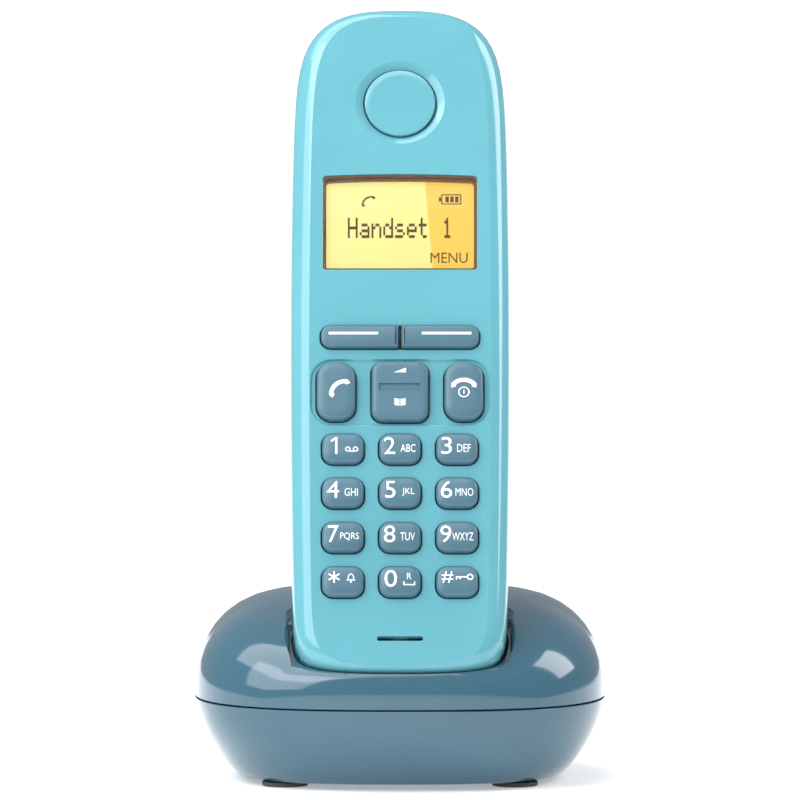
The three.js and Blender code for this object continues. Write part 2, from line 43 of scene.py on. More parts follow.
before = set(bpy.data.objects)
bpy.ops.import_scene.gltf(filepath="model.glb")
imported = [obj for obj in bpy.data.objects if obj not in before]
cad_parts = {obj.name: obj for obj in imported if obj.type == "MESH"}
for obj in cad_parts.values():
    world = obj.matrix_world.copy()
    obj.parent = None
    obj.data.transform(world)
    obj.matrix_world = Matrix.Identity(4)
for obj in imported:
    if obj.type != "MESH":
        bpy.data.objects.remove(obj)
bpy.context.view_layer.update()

MM = 0.001
HANDSET_TURN = math.radians(63)
HANDSET_PLACE = Vector((0, -0.03345, 0.0206))
BASE_PLACE = Vector((0, -0.00445, 0))

# Base, millimetres
BASE_HALF_WIDTH = 44.8
BASE_HALF_DEPTH = 42.0
BASE_SQUARENESS = 2.7
PARTING = 18.45
BASE_BOTTOM = 1.3
BASE_WALL = 2.0
BASE_TAPER = 9.0
BASE_TAPER_POWER = 1.665
TOP_BACK = 40.3
TOP_FALL = 11.5
ROLL = 7.0
SHOULDER_SWELL = 1.6
SHOULDER_POWER = 1.2

# Handset, millimetres
HALF_LENGTH = 78.75
HALF_WIDTH = 24.0
FACE = 13.5
SPLIT = 2.0
WALL = 1.8
SECTION_CORNER = 2.8
TOP_END = (11.5, 0.065)
LOWER_END = (26, 0.045)
FACE_END_SHARE = 0.535
FACE_PIVOT = 45.6
CREASE = 4.2
CREASE_GROOVE = 0.12
WINDOW = (33.8, 22.2, 105.4)
WINDOW_ARCH = 0.45
EARPIECE = 133.9
SOFTKEY_ROW = 78.3
PANEL_ROW = 65.4
DIGIT_ROWS = (51.9, 41.6, 31.2, 20.8)
DIGIT_COLUMNS = (-12.4, 0.0, 12.4)
KEY_CLEARANCE = 0.3
KEY_BACK = 10.9
KEY_TOP = 14.9
DIGIT_KEY = (9.0, 6.9)
DIGIT_CORNER = 2.4
SOFT_KEY = (16.9, 5.1)
SOFT_KEY_X = 8.75
CALL_KEY = (8.4, 13.4)
CALL_CORNER = 3.4
CALL_KEY_X = 13.9
ROCKER_KEY = (12.3, 13.8)
ROCKER_CORNER = 2.4
MIC_ROW = 7.8
COVER_LOW = 32.0
COVER_HIGH = 98.0
COVER_HALF_WIDTH = 17.0
RINGER_ROW = 120.0
CONTACT_X = 8.0
MOUTH_WIDTH = 47.9
MOUTH_DEPTH = 28.0
CRADLE_EASE = 0.5
CONTACT_DEPTH = -5.2


# ---------------------------------------------------------------- sizes and colours


class TelephoneSizes(bpy.types.PropertyGroup):
    """Sizes that a user would change, in millimetres unless the unit says otherwise."""

    key_crown: bpy.props.FloatProperty(name="Key crown", description="How far a key's middle rises, mm", default=0.14, min=0, max=0.4)
    key_rim: bpy.props.FloatProperty(name="Key rim", description="Rounding of a key's front edge, mm", default=0.95, min=0.2, max=1.4)
    digit_height: bpy.props.FloatProperty(name="Digit height", description="Height of the printed digits, mm", default=4.0, min=1, max=5)
    letter_height: bpy.props.FloatProperty(name="Letter height", description="Height of the printed letters, mm", default=1.85, min=1, max=3)
    print_thickness: bpy.props.FloatProperty(name="Print thickness", description="Thickness of the printed ink, mm", default=0.03, min=0.01, max=0.1)
    outline_steps: bpy.props.IntProperty(name="Outline steps", description="Corners round each housing", default=160, min=64, max=320)
    cradle_flare: bpy.props.FloatProperty(name="Cradle flare", description="How far the cradle's mouth opens, mm", default=0.9, min=0, max=3)
    camera_distance: bpy.props.FloatProperty(name="Camera distance", description="Camera to telephone", default=4.852, min=0.2, max=9, unit="LENGTH")
    camera_height: bpy.props.FloatProperty(name="Camera pitch", description="Angle that the camera looks down by", default=math.radians(4.8), unit="ROTATION")


def colour_property(label, description, value):
    return bpy.props.FloatVectorProperty(name=label, description=description, subtype="COLOR", size=3, default=value, min=0, max=1)


class TelephoneColours(bpy.types.PropertyGroup):
    """Colours of the finishes, as linear values."""

    handset: colour_property("Handset", "Gloss plastic of the handset's housings", (0.122, 0.392, 0.462))
    base: colour_property("Base", "Gloss plastic of the base's housings", (0.042, 0.120, 0.172))
    keys: colour_property("Keys", "Satin plastic of the keys", (0.070, 0.162, 0.218))
    ink: colour_property("Key print", "Ink of the digits and letters", (0.86, 0.90, 0.92))
    # Painted reflection: the screen's left colour carries a painted reflection of the left softbox in the window. The
    # right colour is the screen's own glow.
    screen_left_painted_reflection: colour_property("Screen, left", "Lit screen's left side", (0.98, 0.87, 0.30))
    screen_right: colour_property("Screen, right", "Lit screen's right side", (0.98, 0.62, 0.085))
    screen_mark: colour_property("Screen marks", "Marks on the screen", (0.10, 0.05, 0.012))
    # The gasket is a real dark bezel. The display step sets its hole low, so its top band also serves as painted shade.
    gasket: colour_property("Window gasket", "Band round the window", (0.17, 0.085, 0.035))


# ---------------------------------------------------------------- modelling steps


def clear_selection():
    active = bpy.context.view_layer.objects.active
    if active is not None and active.mode != "OBJECT":
        bpy.ops.object.mode_set(mode="OBJECT")
    bpy.ops.object.select_all(action="DESELECT")


def take(*pieces):
    """Selects these pieces alone; the first is the active one."""
    clear_selection()
    for piece in pieces:
        piece.select_set(True)
    bpy.context.view_layer.objects.active = pieces[0]


def named(name):
    """The piece that was just added, with its name and with its place in its mesh."""
    piece = bpy.context.view_layer.objects.active
    piece.name = name
    bpy.ops.object.transform_apply(location=True, rotation=True, scale=True)
    return piece


def open_mesh(piece):
    take(piece)
    bpy.ops.object.mode_set(mode="EDIT")
    bpy.ops.mesh.select_mode(type="VERT")
    bpy.ops.mesh.select_all(action="DESELECT")


def close_mesh():
    bpy.ops.object.mode_set(mode="OBJECT")


def pick(piece, kind, test):
    """Selects the corners ("verts"), edges or faces that pass the test."""
    bpy.ops.mesh.select_mode(type={"verts": "VERT", "edges": "EDGE", "faces": "FACE"}[kind])
    bpy.ops.mesh.select_all(action="DESELECT")
    mesh = bmesh.from_edit_mesh(piece.data)
    found = [part for part in getattr(mesh, kind) if test(part)]
    for part in found:
        part.select_set(True)
    bmesh.update_edit_mesh(piece.data)
    if not found:
        raise RuntimeError(f"{piece.name}: nothing to select among its {kind}")


def nudge(piece, test, move):
    """Moves each corner that passes the test by what move gives for its place. Corners that move alike go together."""
    bpy.ops.mesh.select_mode(type="VERT")
    bpy.ops.mesh.select_all(action="DESELECT")
    mesh = bmesh.from_edit_mesh(piece.data)
    alike = {}
    for vert in mesh.verts:
        if test(vert.co):
            step = move(vert.co.copy())
            alike.setdefault(tuple(round(s, 5) for s in step), []).append(vert)
    for step, verts in alike.items():
        if max(abs(s) for s in step) < 1e-5:
            continue
        for vert in verts:
            vert.select_set(True)
        bpy.ops.transform.translate(value=step)
        for vert in verts:
            vert.select_set(False)


def face_outwards():
    bpy.ops.mesh.select_all(action="SELECT")
    bpy.ops.mesh.normals_make_consistent(inside=False)


def apply_modifier(piece, kind, **settings):
    take(piece)
    bpy.ops.object.modifier_add(type=kind)
    modifier = piece.modifiers[-1]
    for key, value in settings.items():
        setattr(modifier, key, value)
    bpy.ops.object.modifier_apply(modifier=modifier.name)


def combine(piece, tool, operation, keep_tool=False):
    apply_modifier(piece, "BOOLEAN", operation=operation, object=tool, solver="EXACT")
    if not keep_tool:
        bpy.data.objects.remove(tool, do_unlink=True)
    if not piece.data.polygons:
        raise RuntimeError(f"{piece.name}: nothing was left after {operation.lower()}")


def join(pieces, name=None):
    take(*pieces)
    if len(pieces) > 1:
        bpy.ops.object.join()
    if name:
        pieces[0].name = name
    return pieces[0]


def copy_of(piece, name, shift=(0, 0, 0)):
    take(piece)
    bpy.ops.object.duplicate(linked=False)
    twin = bpy.context.view_layer.objects.active
    twin.name = name
    twin.location = shift
    bpy.ops.object.transform_apply(location=True, rotation=False, scale=False)
    return twin


def smooth(piece, degrees=30):
    take(piece)
    bpy.ops.object.shade_smooth_by_angle(angle=math.radians(degrees), keep_sharp_edges=False)


def thicken(piece, thickness, offset=-1):
    apply_modifier(piece, "SOLIDIFY", thickness=thickness, offset=offset, use_even_offset=True, use_rim=True)


def settle(piece, where, body, material, slot, *nodes, degrees=30):
    """Puts a finished piece in its place, gives it its finish, and lets it ride on its body."""
    smooth(piece, degrees)
    if where == "handset":
        piece.rotation_euler = (HANDSET_TURN, 0, 0)
        piece.location = HANDSET_PLACE
    else:
        piece.location = BASE_PLACE
    piece.scale = (MM, MM, MM)
    bpy.ops.object.transform_apply(location=True, rotation=True, scale=True)
    piece.data.name = piece.name
    piece.data.materials.clear()
    piece.data.materials.append(finish(material))
    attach(piece, body)
    if nodes:
        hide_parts(*nodes)
    return piece


def block(name, size, centre, corner=0.0, rim=0.0, corner_steps=7, rim_steps=4, back_rim=0.0):
    """A block whose four upright edges are rounded, and then the edge round its top."""
    bpy.ops.mesh.primitive_cube_add(size=1, location=centre, scale=size)
    piece = named(name)
    open_mesh(piece)
    top = centre[2] + size[2] / 2
    bottom = centre[2] - size[2] / 2
    if corner:
        pick(piece, "edges", lambda e: abs(e.verts[0].co.z - e.verts[1].co.z) > size[2] * 0.9)
        bpy.ops.mesh.bevel(offset=corner, segments=corner_steps, affect="EDGES", profile=0.5)
    if rim:
        pick(piece, "edges", lambda e: all(v.co.z > top - 1e-4 for v in e.verts))
        bpy.ops.mesh.bevel(offset=rim, segments=rim_steps, affect="EDGES", profile=0.5)
    if back_rim:
        pick(piece, "edges", lambda e: all(v.co.z < bottom + 1e-4 for v in e.verts))
        bpy.ops.mesh.bevel(offset=back_rim, segments=2, affect="EDGES", profile=0.5)
    face_outwards()
    close_mesh()
    return piece


def flared_block(name, size, centre, corner, flare):
    """A cutting block whose last step to its top opens by flare, which leaves a chamfer round the hole."""
    piece = block(name, size, centre, corner)
    top = centre[2] + size[2] / 2
    open_mesh(piece)
    pick(piece, "faces", lambda f: f.normal.z > 0.9 and f.calc_center_median().z > top - 1e-4)
    grown = ((size[0] + 2 * flare) / size[0], (size[1] + 2 * flare) / size[1], 1)
    bpy.ops.mesh.extrude_region_move(TRANSFORM_OT_translate={"value": (0, 0, flare)})
    bpy.ops.transform.resize(value=grown, center_override=(centre[0], centre[1], top))
    bpy.ops.mesh.extrude_region_move(TRANSFORM_OT_translate={"value": (0, 0, 1.5)})
    close_mesh()
    return piece


def rod(name, radius, low, high, centre=(0, 0), sides=32, rim=0.0, back_rim=0.0, rim_steps=3):
    """A round rod standing along Z, with rounded ends."""
    middle = (centre[0], centre[1], (low + high) / 2)
    bpy.ops.mesh.primitive_cylinder_add(vertices=sides, radius=radius, depth=high - low, location=middle)
    piece = named(name)
    open_mesh(piece)
    for width, level in ((rim, high), (back_rim, low)):
        if width:
            pick(piece, "edges", lambda e: all(abs(v.co.z - level) < 1e-4 for v in e.verts))
            bpy.ops.mesh.bevel(offset=width, segments=rim_steps, affect="EDGES", profile=0.5)
    close_mesh()
    return piece


def arched(piece, edge, half_width, rise, cuts=9):
    """Bows the side of a block that lies at Y = edge outwards by rise at its middle."""
    open_mesh(piece)
    for number in range(1, cuts):
        bpy.ops.mesh.select_all(action="SELECT")
        across = -half_width + 2 * half_width * number / cuts
        bpy.ops.mesh.bisect(plane_co=(across, 0, 0), plane_no=(1, 0, 0))
    nudge(piece, lambda co: co.y > edge - 1.5 and co.y > 0, lambda co: (0, rise * (1 - (co.x / half_width) ** 2), 0))
    close_mesh()
    return piece


# ---------------------------------------------------------------- the housings' outlines


def signed_power(value, exponent):
    return math.copysign(abs(value) ** exponent, value) if abs(value) > 1e-9 else 0.0


def base_outline(angle, shrink):
    half_width = BASE_HALF_WIDTH - shrink
    half_depth = BASE_HALF_DEPTH - shrink
    return Vector((half_width * signed_power(math.cos(angle), 2 / BASE_SQUARENESS),
                   half_depth * signed_power(math.sin(angle), 2 / BASE_SQUARENESS), 0))


def handset_outline(angle, grow):
    """The handset's outline seen from its face: squarer at its lower end than at its top."""
    end_power, taper = TOP_END if math.sin(angle) > 0 else LOWER_END
    across, along = abs(math.cos(angle)), abs(math.sin(angle))
    low, high = 0.0, 2.0
    for _ in range(40):
        reach = (low + high) / 2
        if (reach * across) ** SECTION_CORNER + (reach * along) ** end_power < 1:
            low = reach
        else:
            high = reach
    along = math.copysign(low * along, math.sin(angle))
    across = math.copysign(low * across, math.cos(angle)) * (1 - taper * along * along)
    return Vector(((HALF_WIDTH + grow) * across, HALF_LENGTH + (HALF_LENGTH + grow) * along, 0))


def curve_rings(start, pull_out, pull_in, end, steps):
    """(inset, level) along the smooth curve that turns a housing's side into its face."""
    rings = []
    for step in range(1, steps + 1):
        t = step / steps
        weights = ((1 - t) ** 3, 3 * (1 - t) ** 2 * t, 3 * (1 - t) * t * t, t ** 3)
        rings.append(tuple(sum(w * p[i] for w, p in zip(weights, (start, pull_out, pull_in, end))) for i in (0, 1)))
    return rings


def start_outline(name, outline, level):
    """A flat filled ring at a level, shaped to an outline corner by corner."""
    steps = bpy.context.scene.telephone_sizes.outline_steps
    bpy.ops.mesh.primitive_circle_add(vertices=steps, radius=1, fill_type="NGON", location=(0, 0, level))
    piece = named(name)
    open_mesh(piece)

    def to_outline(co):
        target = outline(math.atan2(co.y, co.x))
        return (target.x - co.x, target.y - co.y, 0)

    nudge(piece, lambda co: True, to_outline)
    bpy.ops.mesh.select_mode(type="FACE")
    bpy.ops.mesh.select_all(action="SELECT")
    return piece


def raise_cap(rise, across, along, pivot):
    bpy.ops.mesh.extrude_region_move(TRANSFORM_OT_translate={"value": (0, 0, rise)})
    bpy.ops.transform.resize(value=(across, along, 1), center_override=pivot)


def stack(name, outline, half_sizes, rings, ends=lambda level: (1.0, 0.0)):
    """A closed form: a filled outline, extruded from ring to ring. Each ring is (inset, level).
    ends gives how much of the inset the two ends take, and the place that a ring shrinks about."""
    piece = start_outline(name, outline, rings[0][1])
    inset, level = rings[0]
    for next_inset, next_level in rings[1:]:
        share, pivot = ends(next_level)
        across = (half_sizes[0] - next_inset) / (half_sizes[0] - inset)
        along = (half_sizes[1] - share * next_inset) / (half_sizes[1] - share * inset)
        raise_cap(next_level - level, across, along, (0, pivot, next_level))
        inset, level = next_inset, next_level
    return piece


def handset_form(name, rings, grow=0.0):
    """The handset's form, lying on the bench, between its first ring and its last."""
    first = rings[0][0]

    def outline(angle):
        full = handset_outline(angle, grow)
        shrunk = [(half + grow - first) / (half + grow) for half in (HALF_WIDTH, HALF_LENGTH)]
        return Vector((full.x * shrunk[0], HALF_LENGTH + (full.y - HALF_LENGTH) * shrunk[1], 0))

    def ends(level):
        return (FACE_END_SHARE, FACE_PIVOT) if level > SPLIT + 1 else (1.0, HALF_LENGTH)

    piece = stack(name, outline, (HALF_WIDTH + grow, HALF_LENGTH + grow), rings, ends)
    face_outwards()
    close_mesh()
    return piece


def face_rings(steps=9, grow=0.0):
    turn = curve_rings((0, 7), (0, 10.4), (1.4, 12.6), (CREASE, FACE), steps)
    return [(0, 7)] + [(inset, level + grow) for inset, level in turn]


def back_rings(steps=10, grow=0.0):
    turn = curve_rings((0, -3), (0, -9), (4, -FACE), (10, -FACE), steps)
    return [(inset, level - grow) for inset, level in reversed(turn)] + [(0, -3)]


def top_height(depth):
    reach = (38 - min(max(depth, -36), 38)) / 74
    return TOP_BACK - TOP_FALL * reach ** 3


def shoulder_step(co, shrink):
    """Carries a corner of the plain crown to its place: the shoulder is tight at the front and full elsewhere."""
    drop = TOP_BACK - shrink - co.z
    inset = ROLL * (1 - math.sqrt(max(0, 1 - (1 - drop / ROLL) ** 2)))
    bend = BASE_SQUARENESS / 2
    angle = math.atan2(signed_power(co.y / BASE_HALF_DEPTH, bend), signed_power(co.x / BASE_HALF_WIDTH, bend))
    swell = 1 + SHOULDER_SWELL * min(1, 1 + math.sin(angle)) ** SHOULDER_POWER
    across, along = ((half - shrink - inset * swell) / (half - shrink - inset) for half in (BASE_HALF_WIDTH, BASE_HALF_DEPTH))
    return (co.x * (across - 1), co.y * (along - 1), top_height(co.y * along) - shrink - drop * swell - co.z)


def upper_form(name, shrink, floor, edge=0.0):
    """The base's pebble top: a wall, a rounded shoulder and a crown that falls towards the front."""
    roll_steps = 9
    rings = [(shrink + edge, floor)]
    if edge:
        rings.append((shrink, floor + edge))
    for step in range(roll_steps + 1):
        turn = math.radians(90 * step / roll_steps)
        rings.append((shrink + ROLL * (1 - math.cos(turn)), TOP_BACK - shrink - ROLL * (1 - math.sin(turn))))
    rest = BASE_HALF_DEPTH - shrink - ROLL
    for spread in (0.9, 0.78, 0.62, 0.45, 0.28, 0.12):
        rings.append((shrink + ROLL + rest * (1 - spread), TOP_BACK - shrink))
    halves = (BASE_HALF_WIDTH, BASE_HALF_DEPTH)
    piece = stack(name, lambda angle: base_outline(angle, rings[0][0]), halves, rings)
    bpy.ops.mesh.poke()
    nudge(piece, lambda co: co.z > floor + edge + 0.01, lambda co: shoulder_step(co, shrink))
    face_outwards()
    close_mesh()
    return piece


def lower_inset(level):
    depth = max(PARTING - level, 0) / (PARTING - BASE_BOTTOM)
    return BASE_TAPER * depth ** BASE_TAPER_POWER


def lower_form(name, shrink, floor, roof, edge=0.0):
    """The base's lower tub: it tapers inwards towards the table."""
    rings = [(shrink + lower_inset(floor) + 0.6, floor), (shrink + lower_inset(floor) + 0.18, floor + 0.18)]
    steps = 14
    for step in range(1, steps + 1):
        level = floor + 0.6 + (roof - edge - floor - 0.6) * step / steps
        rings.append((shrink + lower_inset(level), level))
    if edge:
        rings.append((shrink + lower_inset(roof) + edge, roof))
    halves = (BASE_HALF_WIDTH, BASE_HALF_DEPTH)
    piece = stack(name, lambda angle: base_outline(angle, rings[0][0]), halves, rings)
    face_outwards()
    close_mesh()
    return piece


def from_bench_to_base(piece):
    """Leans a piece that was made on the bench into the cradle, still in millimetres."""
    take(piece)
    piece.rotation_euler = (HANDSET_TURN, 0, 0)
    piece.location = (0, -29, 20.6)
    bpy.ops.object.transform_apply(location=True, rotation=True, scale=True)
    return piece


# ---------------------------------------------------------------- flat shapes for prints and icons


def ring_loop(x, y, radius, steps=20, squash=1.0):
    return [(x + radius * math.cos(2 * math.pi * k / steps), y + squash * radius * math.sin(2 * math.pi * k / steps)) for k in range(steps)]


def stroke_loop(points, width):
    """The outline of a line of even width drawn through the points."""
    left, right = [], []
    for number, point in enumerate(points):
        before = Vector(points[max(number - 1, 0)])
        after = Vector(points[min(number + 1, len(points) - 1)])
        along = (after - before).normalized()
        side = Vector((-along.y, along.x)) * width / 2
        left.append(tuple(Vector(point) + side))
        right.append(tuple(Vector(point) - side))
    return left + right[::-1]


def arc_points(x, y, radius, start, end, steps=10):
    angles = [math.radians(start + (end - start) * k / steps) for k in range(steps + 1)]
    return [(x + radius * math.cos(a), y + radius * math.sin(a)) for a in angles]


def box_loop(x, y, width, height):
    return [(x - width / 2, y - height / 2), (x + width / 2, y - height / 2), (x + width / 2, y + height / 2), (x - width / 2, y + height / 2)]


def star_loop(x, y, reach):
    """A six-armed asterisk."""
    loop = []
    for arm in range(6):
        away = math.radians(90 + 60 * arm)
        hub = away - math.radians(30)
        side = Vector((-math.sin(away), math.cos(away))) * 0.19
        tip = Vector((x + reach * math.cos(away), y + reach * math.sin(away)))
        loop += [(x + 0.38 * math.cos(hub), y + 0.38 * math.sin(hub)), tuple(tip - side), tuple(tip + side)]
    return loop


def one_loop(x, y, width, height):
    """The digit one: an upright stem with a slanting flag."""
    right, top, foot = x + width / 2, y + height / 2, y - height / 2
    stem, drop = 0.5, height * 0.2
    return [(right, foot), (right, top), (right - stem * 0.9, top), (right - width, top - drop), (right - width + 0.28, top - drop - 0.42),
            (right - stem, top - drop * 0.75), (right - stem, foot)]


def turned(loop, degrees, about=(0, 0)):
    c, s = math.cos(math.radians(degrees)), math.sin(math.radians(degrees))
    return [(about[0] + (x - about[0]) * c - (y - about[1]) * s, about[1] + (x - about[0]) * s + (y - about[1]) * c) for x, y in loop]


def drawn(name, loops, level):
    """A flat shape drawn with straight-edged loops; a loop inside another is a hole."""
    curve = bpy.data.curves.new(name, "CURVE")
    curve.dimensions = "2D"
    curve.fill_mode = "BOTH"
    for loop in loops:
        spline = curve.splines.new("POLY")
        spline.points.add(len(loop) - 1)
        for point, (x, y) in zip(spline.points, loop):
            point.co = (x, y, 0, 1)
        spline.use_cyclic_u = True
    piece = bpy.data.objects.new(name, curve)
    bpy.context.scene.collection.objects.link(piece)
    take(piece)
    bpy.ops.object.convert(target="MESH")
    piece = bpy.context.view_layer.objects.active
    piece.location = (0, 0, level)
    bpy.ops.object.transform_apply(location=True, rotation=True, scale=True)
    return piece


def lettering(name, words, height, centre, level, width):
    """Words of a given height and width, centred on a point, as a flat mesh."""
    bpy.ops.object.text_add(location=(0, 0, 0))
    text = bpy.context.view_layer.objects.active
    text.data.body = words
    text.data.resolution_u = 3
    bpy.ops.object.convert(target="MESH")
    piece = bpy.context.view_layer.objects.active
    piece.name = name
    bpy.ops.object.origin_set(type="ORIGIN_GEOMETRY", center="BOUNDS")
    piece.scale = (width / piece.dimensions.x, height / piece.dimensions.y, 1)
    piece.location = (centre[0], centre[1], level)
    bpy.ops.object.transform_apply(location=True, rotation=True, scale=True)
    return piece


def cut_finely(piece, pitch):
    """Cuts a flat shape along a square grid, so that it can follow a crowned surface."""
    corners = [Vector(corner) for corner in piece.bound_box]
    open_mesh(piece)
    for axis in (0, 1):
        low, high = min(c[axis] for c in corners), max(c[axis] for c in corners)
        for number in range(1, math.ceil((high - low) / pitch)):
            place = [0, 0, 0]
            normal = [0, 0, 0]
            place[axis] = low + number * pitch
            normal[axis] = 1
            bpy.ops.mesh.select_all(action="SELECT")
            bpy.ops.mesh.bisect(plane_co=place, plane_no=normal)
    close_mesh()


def print_on(piece, surface):
    """Lays a flat shape down onto a piece as a thin film of ink."""
    sizes = bpy.context.scene.telephone_sizes
    cut_finely(piece, 0.55)
    apply_modifier(piece, "SHRINKWRAP", wrap_method="PROJECT", use_project_z=True, use_negative_direction=True,
                   use_positive_direction=False, target=surface, offset=0.035)
    apply_modifier(piece, "SOLIDIFY", thickness=sizes.print_thickness, offset=0)
    return piece


# ---------------------------------------------------------------- finishes


def new_group(name, inputs, outputs):
    """A node group with named sockets, and its input and output nodes."""
    group = bpy.data.node_groups.new(name, "ShaderNodeTree")
    kinds = {"value": "NodeSocketFloat", "colour": "NodeSocketColor", "vector": "NodeSocketVector"}
    for label, kind, default in inputs:
        socket = group.interface.new_socket(name=label, in_out="INPUT", socket_type=kinds[kind])
        if default is not None:
            socket.default_value = default
    for label, kind in outputs:
        group.interface.new_socket(name=label, in_out="OUTPUT", socket_type=kinds[kind])
    return group, group.nodes.new("NodeGroupInput"), group.nodes.new("NodeGroupOutput")


def noise(tree, vector, scale, detail=3.0, roughness=0.55):
    node = tree.nodes.new("ShaderNodeTexNoise")
    node.inputs["Scale"].default_value = scale
    node.inputs["Detail"].default_value = detail
    node.inputs["Roughness"].default_value = roughness
    tree.links.new(vector, node.inputs["Vector"])
    return node.outputs["Fac"]


def remap(tree, value, low, high, to_low=0.0, to_high=1.0):
    node = tree.nodes.new("ShaderNodeMapRange")
    node.clamp = True
    for label, number in (("From Min", low), ("From Max", high), ("To Min", to_low), ("To Max", to_high)):
        if hasattr(number, "is_output"):
            tree.links.new(number, node.inputs[label])
        else:
            node.inputs[label].default_value = number
    tree.links.new(value, node.inputs["Value"])
    return node.outputs["Result"]


def calculate(tree, operation, first, second=0.0):
    node = tree.nodes.new("ShaderNodeMath")
    node.operation = operation
    for socket, value in zip(node.inputs, (first, second)):
        if hasattr(value, "is_output"):
            tree.links.new(value, socket)
        else:
            socket.default_value = value
    return node.outputs[0]


def mix_colour(tree, factor, first, second, blend="MIX"):
    node = tree.nodes.new("ShaderNodeMix")
    node.data_type = "RGBA"
    node.blend_type = blend
    for label, value in (("Factor", factor), ("A", first), ("B", second)):
        socket = next(s for s in node.inputs if s.name == label and s.enabled)
        if hasattr(value, "is_output"):
            tree.links.new(value, socket)
        else:
            socket.default_value = value if label == "Factor" else (*value[:3], 1)
    return next(s for s in node.outputs if s.enabled)


def moulded_surface_group():
    """Moulded plastic: a faint flow in the colour, an uneven gloss and the tool's fine texture."""
    group, given, made = new_group(
        "Moulded surface",
        [("Vector", "vector", None), ("Colour", "colour", (0.5, 0.5, 0.5, 1)), ("Roughness", "value", 0.2),
         ("Roughness Spread", "value", 0.05), ("Texture Scale", "value", 2500.0), ("Flow", "value", 0.04)],
        [("Colour", "colour"), ("Roughness", "value"), ("Height", "value")])
    vector = given.outputs["Vector"]
    flow = noise(group, vector, 38.0, 2.0)
    darker = mix_colour(group, given.outputs["Flow"], given.outputs["Colour"], (0, 0, 0))
    colour = mix_colour(group, remap(group, flow, 0.35, 0.65), given.outputs["Colour"], darker)
    group.links.new(colour, made.inputs["Colour"])
    handled = remap(group, noise(group, vector, 120.0, 5.0, 0.6), 0.42, 0.72)
    spread = calculate(group, "MULTIPLY", handled, given.outputs["Roughness Spread"])
    group.links.new(calculate(group, "ADD", given.outputs["Roughness"], spread), made.inputs["Roughness"])
    texture = group.nodes.new("ShaderNodeTexNoise")
    group.links.new(vector, texture.inputs["Vector"])
    group.links.new(given.outputs["Texture Scale"], texture.inputs["Scale"])
    texture.inputs["Detail"].default_value = 2.0
    group.links.new(texture.outputs["Fac"], made.inputs["Height"])
    return group


def worn_surface_group():
    """Hairline scratches and settled dust: two masks over the surface."""
    group, given, made = new_group(
        "Scratches and dust",
        [("Vector", "vector", None), ("Scratch Scale", "value", 420.0), ("Dust Scale", "value", 900.0)],
        [("Scratches", "value"), ("Dust", "value")])
    stretch = group.nodes.new("ShaderNodeMapping")
    stretch.inputs["Scale"].default_value = (1, 0.06, 0.3)
    stretch.inputs["Rotation"].default_value = (0.3, 0.2, 0.7)
    group.links.new(given.outputs["Vector"], stretch.inputs["Vector"])
    lines = group.nodes.new("ShaderNodeTexNoise")
    group.links.new(stretch.outputs["Vector"], lines.inputs["Vector"])
    group.links.new(given.outputs["Scratch Scale"], lines.inputs["Scale"])
    lines.inputs["Detail"].default_value = 6.0
    group.links.new(remap(group, lines.outputs["Fac"], 0.66, 0.74), made.inputs["Scratches"])
    specks = group.nodes.new("ShaderNodeTexVoronoi")
    group.links.new(given.outputs["Vector"], specks.inputs["Vector"])
    group.links.new(given.outputs["Dust Scale"], specks.inputs["Scale"])
    group.links.new(remap(group, specks.outputs["Distance"], 0.10, 0.05), made.inputs["Dust"])
    return group


def brushed_metal_group():
    """Rolled or brushed sheet: streaks in one direction and slight stains."""
    group, given, made = new_group(
        "Brushed metal",
        [("Vector", "vector", None), ("Colour", "colour", (0.7, 0.7, 0.7, 1)), ("Streak Scale", "value", 3000.0), ("Roughness", "value", 0.3)],
        [("Colour", "colour"), ("Roughness", "value"), ("Height", "value")])
    stretch = group.nodes.new("ShaderNodeMapping")
    stretch.inputs["Scale"].default_value = (1, 0.04, 0.04)
    group.links.new(given.outputs["Vector"], stretch.inputs["Vector"])
    streaks = group.nodes.new("ShaderNodeTexNoise")
    group.links.new(stretch.outputs["Vector"], streaks.inputs["Vector"])
    group.links.new(given.outputs["Streak Scale"], streaks.inputs["Scale"])
    stain = remap(group, noise(group, given.outputs["Vector"], 160.0, 4.0), 0.45, 0.7)
    dull = mix_colour(group, 0.25, given.outputs["Colour"], (0.2, 0.18, 0.15))
    group.links.new(mix_colour(group, stain, given.outputs["Colour"], dull), made.inputs["Colour"])
    spread = remap(group, streaks.outputs["Fac"], 0.3, 0.7, -0.06, 0.08)
    group.links.new(calculate(group, "ADD", given.outputs["Roughness"], spread), made.inputs["Roughness"])
    group.links.new(streaks.outputs["Fac"], made.inputs["Height"])
    return group


GROUP_MAKERS = {"Moulded surface": moulded_surface_group, "Scratches and dust": worn_surface_group, "Brushed metal": brushed_metal_group}


def place_group(tree, name, vector, **values):
    group = bpy.data.node_groups.get(name) or GROUP_MAKERS[name]()
    node = tree.nodes.new("ShaderNodeGroup")
    node.node_tree = group
    tree.links.new(vector, node.inputs["Vector"])
    for label, value in values.items():
        socket = node.inputs[label.replace("_", " ")]
        if hasattr(value, "is_output"):
            tree.links.new(value, socket)
        else:
            socket.default_value = value
    return node.outputs


def start_material(name):
    """A material with its shader, and the Object coordinates that its patterns lie on."""
    material = bpy.data.materials.new(name)
    material.use_nodes = True
    tree = material.node_tree
    shader = next(n for n in tree.nodes if n.type == "BSDF_PRINCIPLED")
    coordinates = tree.nodes.new("ShaderNodeTexCoord")
    return material, tree, shader, coordinates.outputs["Object"]


def bench_coordinates(tree, vector):
    """Object coordinates turned to the bench's: X across, Y along the handset, Z towards its face."""
    turn = tree.nodes.new("ShaderNodeMapping")
    turn.vector_type = "TEXTURE"
    turn.inputs["Location"].default_value = HANDSET_PLACE
    turn.inputs["Rotation"].default_value = (HANDSET_TURN, 0, 0)
    tree.links.new(vector, turn.inputs["Vector"])
    return turn.outputs["Vector"]


